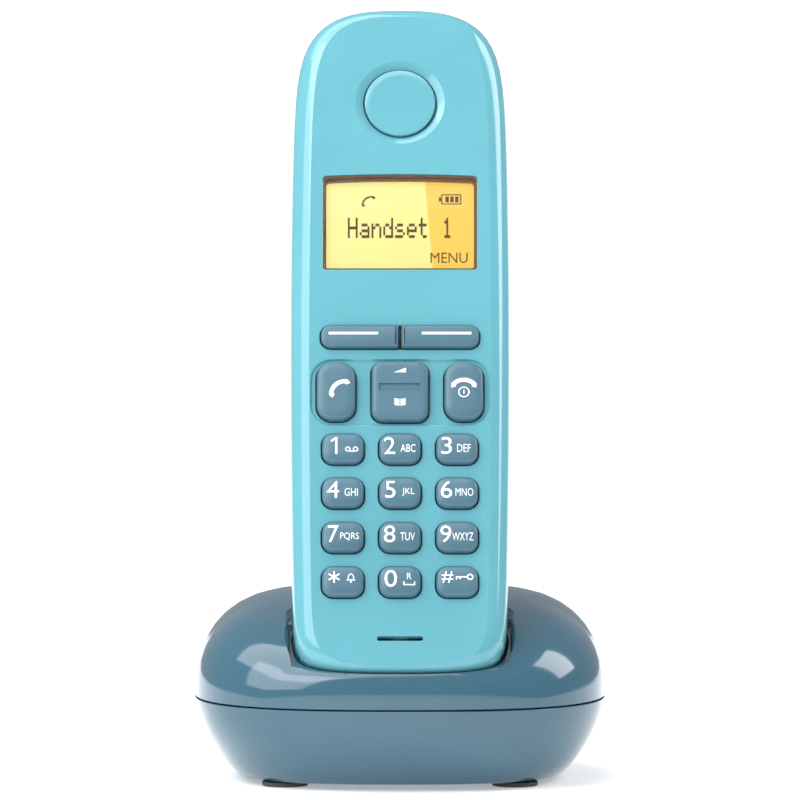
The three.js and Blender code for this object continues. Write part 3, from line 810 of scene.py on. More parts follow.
def bump(tree, shader, height, distance, strength=1.0):
    node = tree.nodes.new("ShaderNodeBump")
    node.inputs["Distance"].default_value = distance
    node.inputs["Strength"].default_value = strength
    tree.links.new(height, node.inputs["Height"])
    tree.links.new(node.outputs["Normal"], shader.inputs["Normal"])


def plastic(name, colour, roughness, spread, texture_scale, depth, flow=0.05, coat=0.0, dust=0.25, scratch=0.12):
    material, tree, shader, vector = start_material(name)
    surface = place_group(tree, "Moulded surface", vector, Colour=(*colour, 1), Roughness=roughness,
                          Roughness_Spread=spread, Texture_Scale=texture_scale, Flow=flow)
    worn = place_group(tree, "Scratches and dust", vector)
    dusty = mix_colour(tree, calculate(tree, "MULTIPLY", worn["Dust"], dust), surface["Colour"], (0.6, 0.6, 0.58))
    tree.links.new(dusty, shader.inputs["Base Color"])
    rubbed = calculate(tree, "MULTIPLY", worn["Scratches"], scratch)
    tree.links.new(calculate(tree, "ADD", surface["Roughness"], rubbed), shader.inputs["Roughness"])
    bump(tree, shader, surface["Height"], depth)
    shader.inputs["Coat Weight"].default_value = coat
    shader.inputs["Coat Roughness"].default_value = 0.04
    shader.inputs["IOR"].default_value = 1.5
    return material


def metal(name, colour, roughness, streaks=3000.0, depth=0.000004):
    material, tree, shader, vector = start_material(name)
    surface = place_group(tree, "Brushed metal", vector, Colour=(*colour, 1), Roughness=roughness, Streak_Scale=streaks)
    worn = place_group(tree, "Scratches and dust", vector)
    tree.links.new(surface["Colour"], shader.inputs["Base Color"])
    rubbed = calculate(tree, "MULTIPLY", worn["Scratches"], 0.2)
    tree.links.new(calculate(tree, "ADD", surface["Roughness"], rubbed), shader.inputs["Roughness"])
    bump(tree, shader, surface["Height"], depth)
    shader.inputs["Metallic"].default_value = 1.0
    return material


def separate(tree, vector):
    node = tree.nodes.new("ShaderNodeSeparateXYZ")
    tree.links.new(vector, node.inputs[0])
    return node.outputs


def lit_screen():
    """The display's lit face: paler yellow on the left, where a reflection of the left softbox is painted into its
    colour and glow, and orange past that reflection's curved edge, over a grid of dots.
    """
    colours = bpy.context.scene.telephone_colours
    material, tree, shader, vector = start_material("Lit screen")
    place = separate(tree, bench_coordinates(tree, vector))
    # Painted reflection: left of this curved edge the screen is paler yellow, and lighter still towards its left end,
    # as if the left softbox shone in the glass.
    bow = calculate(tree, "MULTIPLY", calculate(tree, "SUBTRACT", 0.1164, place["Y"]), 0.085)
    side = calculate(tree, "SUBTRACT", place["X"], calculate(tree, "ADD", bow, 0.0054))
    past_painted_reflection = remap(tree, side, -0.0002, 0.0002)
    left = mix_colour(tree, remap(tree, place["X"], -0.017, 0.006), (0.98, 0.90, 0.34), colours.screen_left_painted_reflection)
    colour = mix_colour(tree, past_painted_reflection, left, colours.screen_right)
    across = calculate(tree, "PINGPONG", place["X"], 0.000215)
    along = calculate(tree, "PINGPONG", place["Y"], 0.000215)
    gap = remap(tree, calculate(tree, "MINIMUM", across, along), 0.00001, 0.00004, 0.10, 0.0)
    dotted = mix_colour(tree, gap, colour, (0.55, 0.35, 0.08))
    uneven = remap(tree, noise(tree, vector, 90.0, 1.0), 0.3, 0.7, 0.0, 0.05)
    lit = mix_colour(tree, uneven, dotted, (0.7, 0.5, 0.15))
    tree.links.new(mix_colour(tree, 0.7, lit, (0.02, 0.015, 0.0)), shader.inputs["Base Color"])
    tree.links.new(lit, shader.inputs["Emission Color"])
    shader.inputs["Emission Strength"].default_value = 0.75
    shader.inputs["Roughness"].default_value = 0.35
    return material


def window_glass():
    material, tree, shader, vector = start_material("Window glass")
    worn = place_group(tree, "Scratches and dust", vector)
    shader.inputs["Base Color"].default_value = (1.0, 1.0, 1.0, 1)
    shader.inputs["Transmission Weight"].default_value = 1.0
    shader.inputs["IOR"].default_value = 1.2
    tree.links.new(remap(tree, worn["Scratches"], 0.0, 1.0, 0.01, 0.05), shader.inputs["Roughness"])
    return material


def circuit_board_finish():
    """Solder mask over copper lines, with tinned pads."""
    material, tree, shader, vector = start_material("Circuit board")
    lines = tree.nodes.new("ShaderNodeTexBrick")
    lines.offset = 0.37
    for label, value in (("Scale", 260.0), ("Mortar Size", 0.06), ("Mortar Smooth", 0.1), ("Brick Width", 0.9), ("Row Height", 0.22)):
        lines.inputs[label].default_value = value
    tree.links.new(vector, lines.inputs["Vector"])
    pads = tree.nodes.new("ShaderNodeTexVoronoi")
    pads.inputs["Scale"].default_value = 330.0
    tree.links.new(vector, pads.inputs["Vector"])
    pad = remap(tree, pads.outputs["Distance"], 0.22, 0.17)
    mask = mix_colour(tree, lines.outputs["Fac"], (0.015, 0.13, 0.05), (0.03, 0.25, 0.09))
    tree.links.new(mix_colour(tree, pad, mask, (0.75, 0.72, 0.62)), shader.inputs["Base Color"])
    tree.links.new(pad, shader.inputs["Metallic"])
    tree.links.new(remap(tree, noise(tree, vector, 300.0), 0.3, 0.7, 0.25, 0.42), shader.inputs["Roughness"])
    bump(tree, shader, calculate(tree, "ADD", lines.outputs["Fac"], pad), 0.00003)
    return material


def cell_sleeve():
    """A battery's printed sleeve: white with a grey-green band and a fold at each end."""
    material, tree, shader, vector = start_material("Cell sleeve")
    place = separate(tree, bench_coordinates(tree, vector))
    band = remap(tree, calculate(tree, "ABSOLUTE", calculate(tree, "SUBTRACT", place["Y"], 0.0609)), 0.0122, 0.0119)
    stripe = remap(tree, calculate(tree, "PINGPONG", place["Y"], 0.0006), 0.00025, 0.0003)
    pattern = mix_colour(tree, calculate(tree, "MULTIPLY", stripe, 0.25), (0.10, 0.42, 0.30), (0.25, 0.62, 0.48))
    surface = place_group(tree, "Moulded surface", vector, Colour=(0.78, 0.80, 0.80, 1), Roughness=0.28, Roughness_Spread=0.12, Texture_Scale=1200.0)
    tree.links.new(mix_colour(tree, band, surface["Colour"], pattern), shader.inputs["Base Color"])
    tree.links.new(surface["Roughness"], shader.inputs["Roughness"])
    bump(tree, shader, surface["Height"], 0.00002)
    return material


def studio_floor():
    material, tree, shader, vector = start_material("Studio floor")
    shade = remap(tree, noise(tree, vector, 1.5, 2.0), 0.3, 0.7, 0.0, 0.03)
    tree.links.new(mix_colour(tree, shade, (0.93, 0.93, 0.93), (0.86, 0.87, 0.88)), shader.inputs["Base Color"])
    shader.inputs["Roughness"].default_value = 0.85
    # Painted light: the floor glows. The glow is dim (0.38) within about 0.15 m of the telephone and rises to full
    # white about 1.2 m out, so the backdrop reads white.
    away = tree.nodes.new("ShaderNodeVectorMath")
    away.operation = "LENGTH"
    tree.links.new(vector, away.inputs[0])
    painted_floor_glow = remap(tree, away.outputs["Value"], 0.15, 1.2)
    tree.links.new(mix_colour(tree, painted_floor_glow, (0.38, 0.38, 0.38), (1, 1, 1)), shader.inputs["Emission Color"])
    shader.inputs["Emission Strength"].default_value = 0.9
    return material


def finish(name):
    """The material of a name, built the first time it is asked for."""
    made = bpy.data.materials.get(name)
    if made is not None:
        return made
    colours = bpy.context.scene.telephone_colours
    makers = {
        "Handset gloss": lambda: plastic(name, colours.handset, 0.13, 0.05, 1500.0, 0.0000025, coat=0.35),
        "Base gloss": lambda: plastic(name, colours.base, 0.11, 0.05, 1500.0, 0.0000025, coat=0.3),
        "Key satin": lambda: plastic(name, colours.keys, 0.36, 0.08, 5200.0, 0.000006, flow=0.08),
        "Key ink": lambda: plastic(name, colours.ink, 0.42, 0.1, 6000.0, 0.000004, flow=0.03, dust=0.05),
        "Screen mark": lambda: plastic(name, colours.screen_mark, 0.5, 0.05, 4000.0, 0.000002, dust=0.0),
        "Window gasket": lambda: plastic(name, colours.gasket, 0.45, 0.05, 3000.0, 0.000008, dust=0.0),
        "Lit screen": lit_screen,
        "Window glass": window_glass,
        "Circuit board": circuit_board_finish,
        "Cell sleeve": cell_sleeve,
        "Dark plastic": lambda: plastic(name, (0.022, 0.024, 0.026), 0.42, 0.12, 4200.0, 0.00001, flow=0.2),
        "White diffuser": lambda: plastic(name, (0.80, 0.80, 0.76), 0.5, 0.08, 3000.0, 0.000006),
        "Silicone mat": lambda: plastic(name, (0.62, 0.64, 0.64), 0.7, 0.1, 2600.0, 0.00002, dust=0.4),
        "Foot rubber": lambda: plastic(name, (0.075, 0.08, 0.085), 0.82, 0.1, 3600.0, 0.00003, flow=0.15, dust=0.6),
        "Tinned steel": lambda: metal(name, (0.70, 0.71, 0.72), 0.30),
        "Screw steel": lambda: metal(name, (0.55, 0.56, 0.58), 0.34, 5200.0),
        "Contact metal": lambda: metal(name, (0.86, 0.66, 0.30), 0.24, 4200.0),
        "Studio floor": studio_floor,
    }
    if name not in makers:
        raise RuntimeError(f"there is no finish named {name}")
    return makers[name]()


def dress(material, *nodes):
    """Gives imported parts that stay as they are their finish."""
    for name in nodes:
        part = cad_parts[name]
        part.data.materials.clear()
        part.data.materials.append(finish(material))


# ---------------------------------------------------------------- the base


class TelephoneStep(bpy.types.Operator):
    bl_options = {"REGISTER", "UNDO"}


class TELEPHONE_OT_base_upper(TelephoneStep):
    """Base's upper shell: crowned top, rounded shoulder and the cradle with its flared mouth"""

    bl_idname = "telephone.base_upper"
    bl_label = "Base upper shell"

    def execute(self, context):
        sizes = context.scene.telephone_sizes
        shell = upper_form("upper_shell_gloss", 0, PARTING, 0.14)
        hollow = upper_form("upper_hollow", BASE_WALL, PARTING - 5)
        combine(shell, hollow, "DIFFERENCE")
        cup = from_bench_to_base(handset_form("cradle_cup", back_rings(8, 2.6) + face_rings(6, 2.6), 2.6))
        limit = upper_form("cradle_limit", 0.05, 8.5)
        combine(cup, limit, "INTERSECT")
        combine(shell, cup, "UNION")
        for side in (-1, 1):
            post = rod("screw_post", 3, 4.5, 36, (side * 28.5, 4), 24)
            combine(shell, post, "UNION")
        pocket = from_bench_to_base(handset_form("cradle_pocket", back_rings(12, CRADLE_EASE) + face_rings(10, CRADLE_EASE), CRADLE_EASE))
        combine(shell, pocket, "DIFFERENCE")
        combine(shell, self.mouth(sizes.cradle_flare), "DIFFERENCE")
        for side in (-1, 1):
            combine(shell, rod("screw_hole", 1.5, 3, 13, (side * 28.5, 4), 16), "DIFFERENCE")
            slot = block("contact_slot", (4.4, 5.5, 5.2), (side * CONTACT_X, -1.75, CONTACT_DEPTH), 0.5)
            combine(shell, from_bench_to_base(slot), "DIFFERENCE")
        settle(shell, "base", "base", "Base gloss", "base_shell", "base_upper_shell", degrees=32)
        return {"FINISHED"}

    def mouth(self, flare):
        # The flare dies away towards the front, where the handset overhangs the shoulder.
        """A sleeve round the handset that opens smoothly where it leaves the base's crown."""
        def fade(depth):
            reach = min(max((depth + 13) / 12, 0), 1)
            return reach * reach * (3 - 2 * reach)

        section = block("cradle_mouth", (MOUTH_WIDTH, MOUTH_DEPTH, 1.0), (0, 0, 0), 7.5, corner_steps=12)
        open_mesh(section)
        pick(section, "faces", lambda f: f.normal.z > 0.9)
        growth = 0.0
        for rise, grow in ((0.9, 0.12), (0.6, 0.26), (0.45, 0.44), (0.35, 0.62), (0.28, 0.8), (0.22, 1.0), (3.0, 1.0)):
            bpy.ops.mesh.extrude_region_move(TRANSFORM_OT_translate={"value": (0, 0, rise)})
            before = (MOUTH_WIDTH + 2 * growth, MOUTH_DEPTH + growth)
            growth = flare * grow
            after = (MOUTH_WIDTH + 2 * growth, MOUTH_DEPTH + growth)
            bpy.ops.transform.resize(value=(after[0] / before[0], after[1] / before[1], 1), center_override=(0, -MOUTH_DEPTH / 2, 0))
        bpy.ops.mesh.select_all(action="SELECT")
        close_mesh()
        take(section)
        section.location = (0, 0, -2.9)
        bpy.ops.object.transform_apply(location=True, rotation=True, scale=True)
        open_mesh(section)
        nudge(section, lambda co: abs(co.x) > MOUTH_WIDTH / 2 + 0.05, lambda co: (math.copysign(MOUTH_WIDTH / 2 - abs(co.x), co.x) * (1 - fade(co.y)), 0, 0))
        nudge(section, lambda co: True, lambda co: (0, 0, (co.y + MOUTH_DEPTH / 2) * 0.88 + 2.0))
        close_mesh()
        take(section)
        section.rotation_euler = (-math.radians(27), 0, 0)
        section.location = (0, -29, 20.6)
        bpy.ops.object.transform_apply(location=True, rotation=True, scale=True)
        return section


class TELEPHONE_OT_base_lower(TelephoneStep):
    """Base's lower shell, with the openings in its back wall and its screw recesses"""

    bl_idname = "telephone.base_lower"
    bl_label = "Base lower shell"

    def execute(self, context):
        roof = PARTING - 0.3
        shell = lower_form("lower_shell_gloss", 0, BASE_BOTTOM, roof, 0.14)
        combine(shell, lower_form("lower_hollow", BASE_WALL, BASE_BOTTOM + BASE_WALL, roof + 1), "DIFFERENCE")
        for side in (-1, 1):
            place = (side * 28.5, 4)
            combine(shell, rod("screw_boss", 4.5, 3, 4.2, place, 32), "UNION")
            combine(shell, rod("screw_recess", 3, 0, 2.9, place, 32), "DIFFERENCE")
            combine(shell, rod("screw_bore", 1.6, 2, 5, place, 24), "DIFFERENCE")
        for name, x0, x1, z0, z1, corner in (("line_hole", -17.2, -5.8, 7.5, 15.9, 0.6), ("power_hole", 6.7, 15.3, 7.1, 13.9, 0.6),
                                             ("paging_hole", -3.85, 3.85, 8.15, 13.85, 2.1)):
            hole = block(name, (x1 - x0, z1 - z0, 15), (0, 0, 0), corner)
            take(hole)
            hole.rotation_euler = (math.radians(90), 0, 0)
            hole.location = ((x0 + x1) / 2, 38.5, (z0 + z1) / 2)
            bpy.ops.object.transform_apply(location=True, rotation=True, scale=True)
            combine(shell, hole, "DIFFERENCE")
        settle(shell, "base", "base", "Base gloss", "base_shell", "base_lower_shell", degrees=32)
        return {"FINISHED"}


def stand_at_back(piece, x, y, z):
    """Turns a piece made lying on the bench so that its top faces the base's back."""
    take(piece)
    piece.rotation_euler = (math.radians(-90), 0, 0)
    piece.location = (x, y, z)
    bpy.ops.object.transform_apply(location=True, rotation=True, scale=True)
    return piece


class TELEPHONE_OT_base_sockets(TelephoneStep):
    """Line socket with its spring wires, power inlet with its pin, and the paging key"""

    bl_idname = "telephone.base_sockets"
    bl_label = "Sockets and paging key"

    def execute(self, context):
        line = block("line_socket_body", (13, 11.5, 15), (0, 0, -7.5), 0.5, 0.3)
        combine(line, flared_block("line_mouth", (9.8, 6.8, 11), (0, -0.55, -5.8), 0.3, 0.3), "DIFFERENCE")
        combine(line, block("line_latch_way", (4.0, 1.9, 11.4), (0, -4.6, -5.3), 0.2), "DIFFERENCE")
        stand_at_back(line, -11.5, 33, 12.25)
        settle(line, "base", "base", "Dark plastic", "dark_plastic", "line_socket")
        wires = []
        for number in range(4):
            wire = rod("line_wire", 0.22, -10.6, -1.6, ((number - 1.5) * 1.1, 0), 10, 0.08, 0.08)
            take(wire)
            wire.rotation_euler = (math.radians(-14), 0, 0)
            wire.location = (0, 0.2, 0)
            bpy.ops.object.transform_apply(location=True, rotation=True, scale=True)
            wires.append(wire)
        wires = join(wires, "line_socket_wires")
        stand_at_back(wires, -11.5, 33, 12.25)
        settle(wires, "base", "base", "Contact metal", "contact_metal")

        power = block("power_inlet_body", (10, 8.1, 13), (0, 0, -6.5), 0.5, 0.3)
        combine(power, flared_block("power_mouth", (7, 5.2, 9), (0, 0.05, -4.7), 1.2, 0.25), "DIFFERENCE")
        stand_at_back(power, 11, 33, 10.55)
        settle(power, "base", "base", "Dark plastic", "dark_plastic", "power_inlet")
        pin = rod("power_inlet_pin", 0.65, -9.1, -1.2, (0, 0), 20, 0.3)
        stand_at_back(pin, 11, 33, 10.55)
        settle(pin, "base", "base", "Tinned steel", "tinned_steel")

        key = block("paging_key_cap", (7, 5, 8.1), (0, 0, 3.55), 1.8, 0.5)
        open_mesh(key)
        pick(key, "faces", lambda f: f.normal.z > 0.9)
        bpy.ops.mesh.inset(thickness=0.7)
        bpy.ops.transform.translate(value=(0, 0, -0.12))
        bpy.ops.mesh.inset(thickness=0.5)
        bpy.ops.transform.translate(value=(0, 0, -0.06))
        close_mesh()
        waves = [stroke_loop(arc_points(0.9, 0, radius, 128, 232, 8), 0.26) for radius in (1.0, 1.8, 2.6)]
        mark = print_on(drawn("paging_key_mark", waves, 9), key)
        stand_at_back(key, 0, 33, 11)
        stand_at_back(mark, 0, 33, 11)
        settle(key, "base", "paging_button", "Key satin", "key_plastic", "paging_button")
        settle(mark, "base", "paging_button", "Key ink", "key_plastic")
        return {"FINISHED"}


def cross_screw(name, head, head_height, shaft, length):
    """A pan-head screw on its own axis, head down, with a cross recess and a threaded shaft."""
    body = rod(name, head, 0, head_height, (0, 0), 40, 0.0, 0.35)
    for turn in (0, 90):
        slot = block("cross", (head * 1.25, 0.55, 0.9), (0, 0, 0.2), 0.2)
        take(slot)
        slot.rotation_euler = (0, 0, math.radians(turn + 45))
        bpy.ops.object.transform_apply(location=True, rotation=True, scale=True)
        combine(body, slot, "DIFFERENCE")
    shank = rod("shank", shaft, head_height - 0.1, length, (0, 0), 20)
    open_mesh(shank)
    rounds = int((length - head_height) / 0.55)
    for number in range(1, 2 * rounds):
        bpy.ops.mesh.select_all(action="SELECT")
        level = head_height + number * (length - head_height - 0.8) / (2 * rounds)
        bpy.ops.mesh.bisect(plane_co=(0, 0, level), plane_no=(0, 0, 1))
        if number % 2:
            pick(shank, "verts", lambda v: abs(v.co.z - level) < 1e-3)
            bpy.ops.transform.resize(value=(0.78, 0.78, 1), center_override=(0, 0, level))
    pick(shank, "verts", lambda v: v.co.z > length - 1e-3)
    bpy.ops.transform.resize(value=(0.3, 0.3, 1), center_override=(0, 0, length))
    close_mesh()
    return join([body, shank])


class TELEPHONE_OT_feet_and_screws(TelephoneStep):
    """Rubber feet and the four housing screws"""

    bl_idname = "telephone.feet_and_screws"
    bl_label = "Feet and screws"

    def execute(self, context):
        pattern = rod("foot_pattern", 5, 0, 1, (0, 0), 48, 0.1, 0.35)
        open_mesh(pattern)
        pick(pattern, "faces", lambda f: f.normal.z < -0.9)
        bpy.ops.mesh.inset(thickness=1.1)
        bpy.ops.transform.translate(value=(0, 0, 0.22))
        bpy.ops.mesh.inset(thickness=0.35)
        bpy.ops.transform.translate(value=(0, 0, -0.15))
        close_mesh()
        for name, x, y in (("front_left", -25, -21), ("front_right", 25, -21), ("rear_left", -25, 21), ("rear_right", 25, 21)):
            foot = copy_of(pattern, "rubber_foot_" + name, (x, y, 0))
            settle(foot, "base", "base", "Foot rubber", "foot_rubber", "foot_" + name)
        bpy.data.objects.remove(pattern, do_unlink=True)
        long_screw = cross_screw("long_screw", 2.6, 1.2, 1.2, 10.6)
        for name, side in (("left", -1), ("right", 1)):
            screw = copy_of(long_screw, "base_cross_screw_" + name, (side * 28.5, 4, 1.4))
            settle(screw, "base", "base", "Screw steel", "screw_steel", "base_screw_" + name)
        bpy.data.objects.remove(long_screw, do_unlink=True)
        short_screw = cross_screw("short_screw", 2.1, 1.2, 1.0, 17.2)
        for name, side in (("left", -1), ("right", 1)):
            screw = copy_of(short_screw, "handset_cross_screw_" + name, (side * 15.5, 90, -9.9))
            settle(screw, "handset", "handset", "Screw steel", "screw_steel", "handset_screw_" + name)
        bpy.data.objects.remove(short_screw, do_unlink=True)
        return {"FINISHED"}


# ---------------------------------------------------------------- the handset's housings


def key_opening(x, along, width, height, corner, floor=FACE):
    depth = 4.0
    size = (width + 2 * KEY_CLEARANCE, height + 2 * KEY_CLEARANCE, depth)
    return flared_block("key_opening", size, (x, along, floor - 0.12 - depth / 2), corner + KEY_CLEARANCE, 0.12)


def window_block(name, shrink, low, high):
    """A block in the shape of the display's window, whose upper side is slightly bowed."""
    width, height, along = WINDOW
    size = (width - 2 * shrink, height - 2 * shrink, high - low)
    piece = block(name, size, (0, 0, (low + high) / 2), 0.8, corner_steps=5)
    arched(piece, size[1] / 2, size[0] / 2, WINDOW_ARCH)
    take(piece)
    piece.location = (0, along, 0)
    bpy.ops.object.transform_apply(location=True, rotation=False, scale=False)
    return piece


class TELEPHONE_OT_front_shell(TelephoneStep):
    """Handset's front shell: rolled rim, flat face and every opening in it"""

    bl_idname = "telephone.front_shell"
    bl_label = "Handset front shell"

    def execute(self, context):
        edge = 0.14
        rings = [(edge, SPLIT), (0, SPLIT + edge)] + face_rings(10)
        shell = handset_form("front_shell_gloss", rings)
        open_mesh(shell)
        pick(shell, "faces", lambda f: f.calc_center_median().z < SPLIT + 0.01)
        bpy.ops.mesh.delete(type="FACE")
        close_mesh()
        thicken(shell, WALL)
        recess = flared_block("panel_recess", (38.5, 15.1, 0.1), (0, PANEL_ROW, FACE - 0.35), 4.6, 0.4)
        combine(shell, recess, "DIFFERENCE")
        openings = [key_opening(x, along, *DIGIT_KEY, DIGIT_CORNER) for along in DIGIT_ROWS for x in DIGIT_COLUMNS]
        openings += [key_opening(side * CALL_KEY_X, PANEL_ROW, *CALL_KEY, CALL_CORNER, FACE - 0.4) for side in (-1, 1)]
        openings.append(key_opening(0, PANEL_ROW, *ROCKER_KEY, ROCKER_CORNER, FACE - 0.4))
        softkeys = key_opening(0, SOFTKEY_ROW, 2 * SOFT_KEY_X + SOFT_KEY[0], SOFT_KEY[1], 2.1)
        openings += [softkeys, block("mic_slot", (10, 1.1, 5), (0, MIC_ROW, 12), 0.5)]
        combine(shell, join(openings, "openings"), "DIFFERENCE")
        combine(shell, window_block("window_opening", 0, 10, 15), "DIFFERENCE")
        combine(shell, self.dish(), "DIFFERENCE")
        settle(shell, "handset", "handset", "Handset gloss", "handset_shell", "handset_front_shell", degrees=17)
        return {"FINISHED"}

    def dish(self):
        """The cutter for the earpiece: a bore with a shallow cone round it."""
        bore = rod("earpiece_bore", 8.1, 9, FACE - 0.75, (0, EARPIECE), 72)
        open_mesh(bore)
        pick(bore, "faces", lambda f: f.normal.z > 0.9)
        pivot = (0, EARPIECE, FACE)
        bpy.ops.mesh.extrude_region_move(TRANSFORM_OT_translate={"value": (0, 0, 0.12)})
        bpy.ops.transform.resize(value=(1.03, 1.03, 1), center_override=pivot)
        bpy.ops.mesh.extrude_region_move(TRANSFORM_OT_translate={"value": (0, 0, 0.63)})
        bpy.ops.transform.resize(value=(9.8 / 8.34, 9.8 / 8.34, 1), center_override=pivot)
        bpy.ops.mesh.extrude_region_move(TRANSFORM_OT_translate={"value": (0, 0, 1.5)})
        close_mesh()
        return bore


class TELEPHONE_OT_rear_shell(TelephoneStep):
    """Handset's rear shell: the battery bay, its ledge, the ringer's slots and the charging windows"""

    bl_idname = "telephone.rear_shell"
    bl_label = "Handset rear shell"

    def execute(self, context):
        edge = 0.14
        rings = back_rings(12) + [(0, SPLIT - 0.3 - edge), (edge, SPLIT - 0.3)]
        shell = handset_form("rear_shell_gloss", rings)
        open_mesh(shell)
        pick(shell, "faces", lambda f: f.calc_center_median().z > SPLIT - 0.31)
        bpy.ops.mesh.delete(type="FACE")
        close_mesh()
        thicken(shell, WALL)
        middle = (COVER_LOW + COVER_HIGH) / 2
        length = COVER_HIGH - COVER_LOW
        combine(shell, block("cover_opening", (34.6, length + 0.6, 6), (0, middle, -12.5), 4.3), "DIFFERENCE")
        ledge = block("bay", (37, 70.4, 1.2), (0, middle, -9.9), 3.5, 0.2)
        combine(ledge, block("tray", (25.6, 54, 10.4), (0, 61, -5.3), 0.8), "UNION")
        for side in (-1, 1):
            combine(ledge, rod("boss", 3.4, -10.5, -1.6, (side * 15.5, 90), 28), "UNION")
        combine(ledge, block("bay_room", (23.6, 52, 12), (0, 61, -7), 0.6), "DIFFERENCE")
        for side in (-1, 1):
            combine(ledge, rod("head_recess", 2.4, -12, -8.4, (side * 15.5, 90), 28), "DIFFERENCE")
            combine(ledge, rod("shank_bore", 1.3, -9, -1, (side * 15.5, 90), 20), "DIFFERENCE")
        combine(shell, ledge, "UNION")
        slots = [block("ringer_slot", (13 - 2 * abs(step), 1.3, 6), (0, RINGER_ROW + 3 * step, -12), 0.6) for step in range(-2, 3)]
        combine(shell, join(slots, "slots"), "DIFFERENCE")
        for side in (-1, 1):
            combine(shell, block("pad_window", (5.6, 4, 5.6), (side * CONTACT_X, 1, CONTACT_DEPTH), 0), "DIFFERENCE")
        settle(shell, "handset", "handset", "Handset gloss", "handset_shell", "handset_rear_shell", degrees=24)
        return {"FINISHED"}


class TELEPHONE_OT_battery_cover(TelephoneStep):
    """Battery cover with its nail notch"""

    bl_idname = "telephone.battery_cover"
    bl_label = "Battery cover"

    def execute(self, context):
        middle = (COVER_LOW + COVER_HIGH) / 2
        length = COVER_HIGH - COVER_LOW
        cover = handset_form("battery_cover_gloss", back_rings(12) + [(0, 0)])
        combine(cover, block("cover_outline", (34, length, 6.5), (0, middle, -11.25), 4), "INTERSECT")
        inner = handset_form("cover_inner", back_rings(10, -1.4) + [(0, 0)], -1.4)
        combine(cover, inner, "DIFFERENCE")
        notch = block("nail_notch", (12, 3, 1.2), (0, COVER_HIGH - 4.5, -13.6), 1.4, 0.35)
        combine(cover, notch, "DIFFERENCE")
        settle(cover, "handset", "battery_cover", "Handset gloss", "handset_shell", "battery_cover", degrees=24)
        return {"FINISHED"}


# ---------------------------------------------------------------- keys


def key_cap(name, size, corner, rim, crown):
    """A key that lies on the bench at X = Y = 0: rounded outline, rolled rim and a crowned top."""
    width, height, top = size
    cap = block(name, (width, height, top - KEY_BACK), (0, 0, (KEY_BACK + top) / 2), corner, rim, 8, 5)
    open_mesh(cap)
    pick(cap, "faces", lambda f: f.normal.z > 0.99 and f.calc_center_median().z > top - 1e-3)
    for thickness, share in ((0.25, 0.45), (0.45, 0.35), (0.6, 0.2)):
        bpy.ops.mesh.inset(thickness=thickness)
        bpy.ops.transform.translate(value=(0, 0, crown * share))
    close_mesh()
    return cap


# Each key's digit, with its middle and width, then its letters, with theirs.
LEGENDS = {
    "key_1": ("1", -1.95, 1.5),
    "key_2": ("2", -2.25, 2.4, "ABC", 1.75, 3.3),
    "key_3": ("3", -2.25, 2.3, "DEF", 1.5, 2.95),
    "key_4": ("4", -2.15, 2.65, "GHI", 1.8, 2.9),
    "key_5": ("5", -2.1, 2.25, "JKL", 1.8, 2.7),
    "key_6": ("6", -2.3, 2.5, "MNO", 1.6, 3.9),
    "key_7": ("7", -2.1, 2.35, "PQRS", 1.45, 4.1),
    "key_8": ("8", -2.25, 2.5, "TUV", 1.65, 3.15),
    "key_9": ("9", -2.45, 2.4, "WXYZ", 1.25, 4.6),
    "key_star": ("*", -1.9, 2.75),
    "key_0": ("0", -2.0, 2.75, "R", 2.0, 1.0),
    "key_hash": ("#", -2.1, 2.6),
}
KEY_NAMES = (("key_1", "key_2", "key_3"), ("key_4", "key_5", "key_6"), ("key_7", "key_8", "key_9"), ("key_star", "key_0", "key_hash"))
PRINT_LEVEL = 17.0


def digit_icons(node):
    """The small drawings that some digit keys carry beside their digit."""
    if node == "key_1":
        rings = [[ring_loop(x, -0.45, 0.6), ring_loop(x, -0.45, 0.34)] for x in (1.05, 2.75)]
        return [drawn("icon", loops, PRINT_LEVEL) for loops in rings] + [drawn("icon", [box_loop(1.9, -0.92, 1.7, 0.25)], PRINT_LEVEL)]
    if node == "key_star":
        bell = [(0.7, -0.1), (1.0, 0.15), (1.1, 0.95), (1.4, 1.4), (1.75, 1.55), (2.1, 1.4), (2.4, 0.95), (2.5, 0.15), (2.8, -0.1)]
        inside = [(1.2, 0.15), (1.32, 0.87), (1.52, 1.2), (1.75, 1.3), (1.98, 1.2), (2.18, 0.87), (2.3, 0.15)]
        return [drawn("icon", [bell, inside], PRINT_LEVEL), drawn("icon", [ring_loop(1.75, -0.42, 0.22, 12)], PRINT_LEVEL)]
    if node == "key_0":
        tray = [(0.7, -0.3), (0.7, -1.2), (3.3, -1.2), (3.3, -0.3), (3.02, -0.3), (3.02, -0.92), (0.98, -0.92), (0.98, -0.3)]
        return [drawn("icon", [tray], PRINT_LEVEL)]
    if node == "key_hash":
        bow = [ring_loop(2.8, 0.75, 0.75), ring_loop(2.8, 0.75, 0.42)]
        blade = [(2.02, 0.9), (-0.3, 0.9), (-0.3, 0.1), (0.0, 0.1), (0.0, 0.6), (0.45, 0.6), (0.45, 0.2), (0.75, 0.2), (0.75, 0.6), (2.02, 0.6)]
        return [drawn("icon", bow, PRINT_LEVEL), drawn("icon", [blade], PRINT_LEVEL)]
    return []


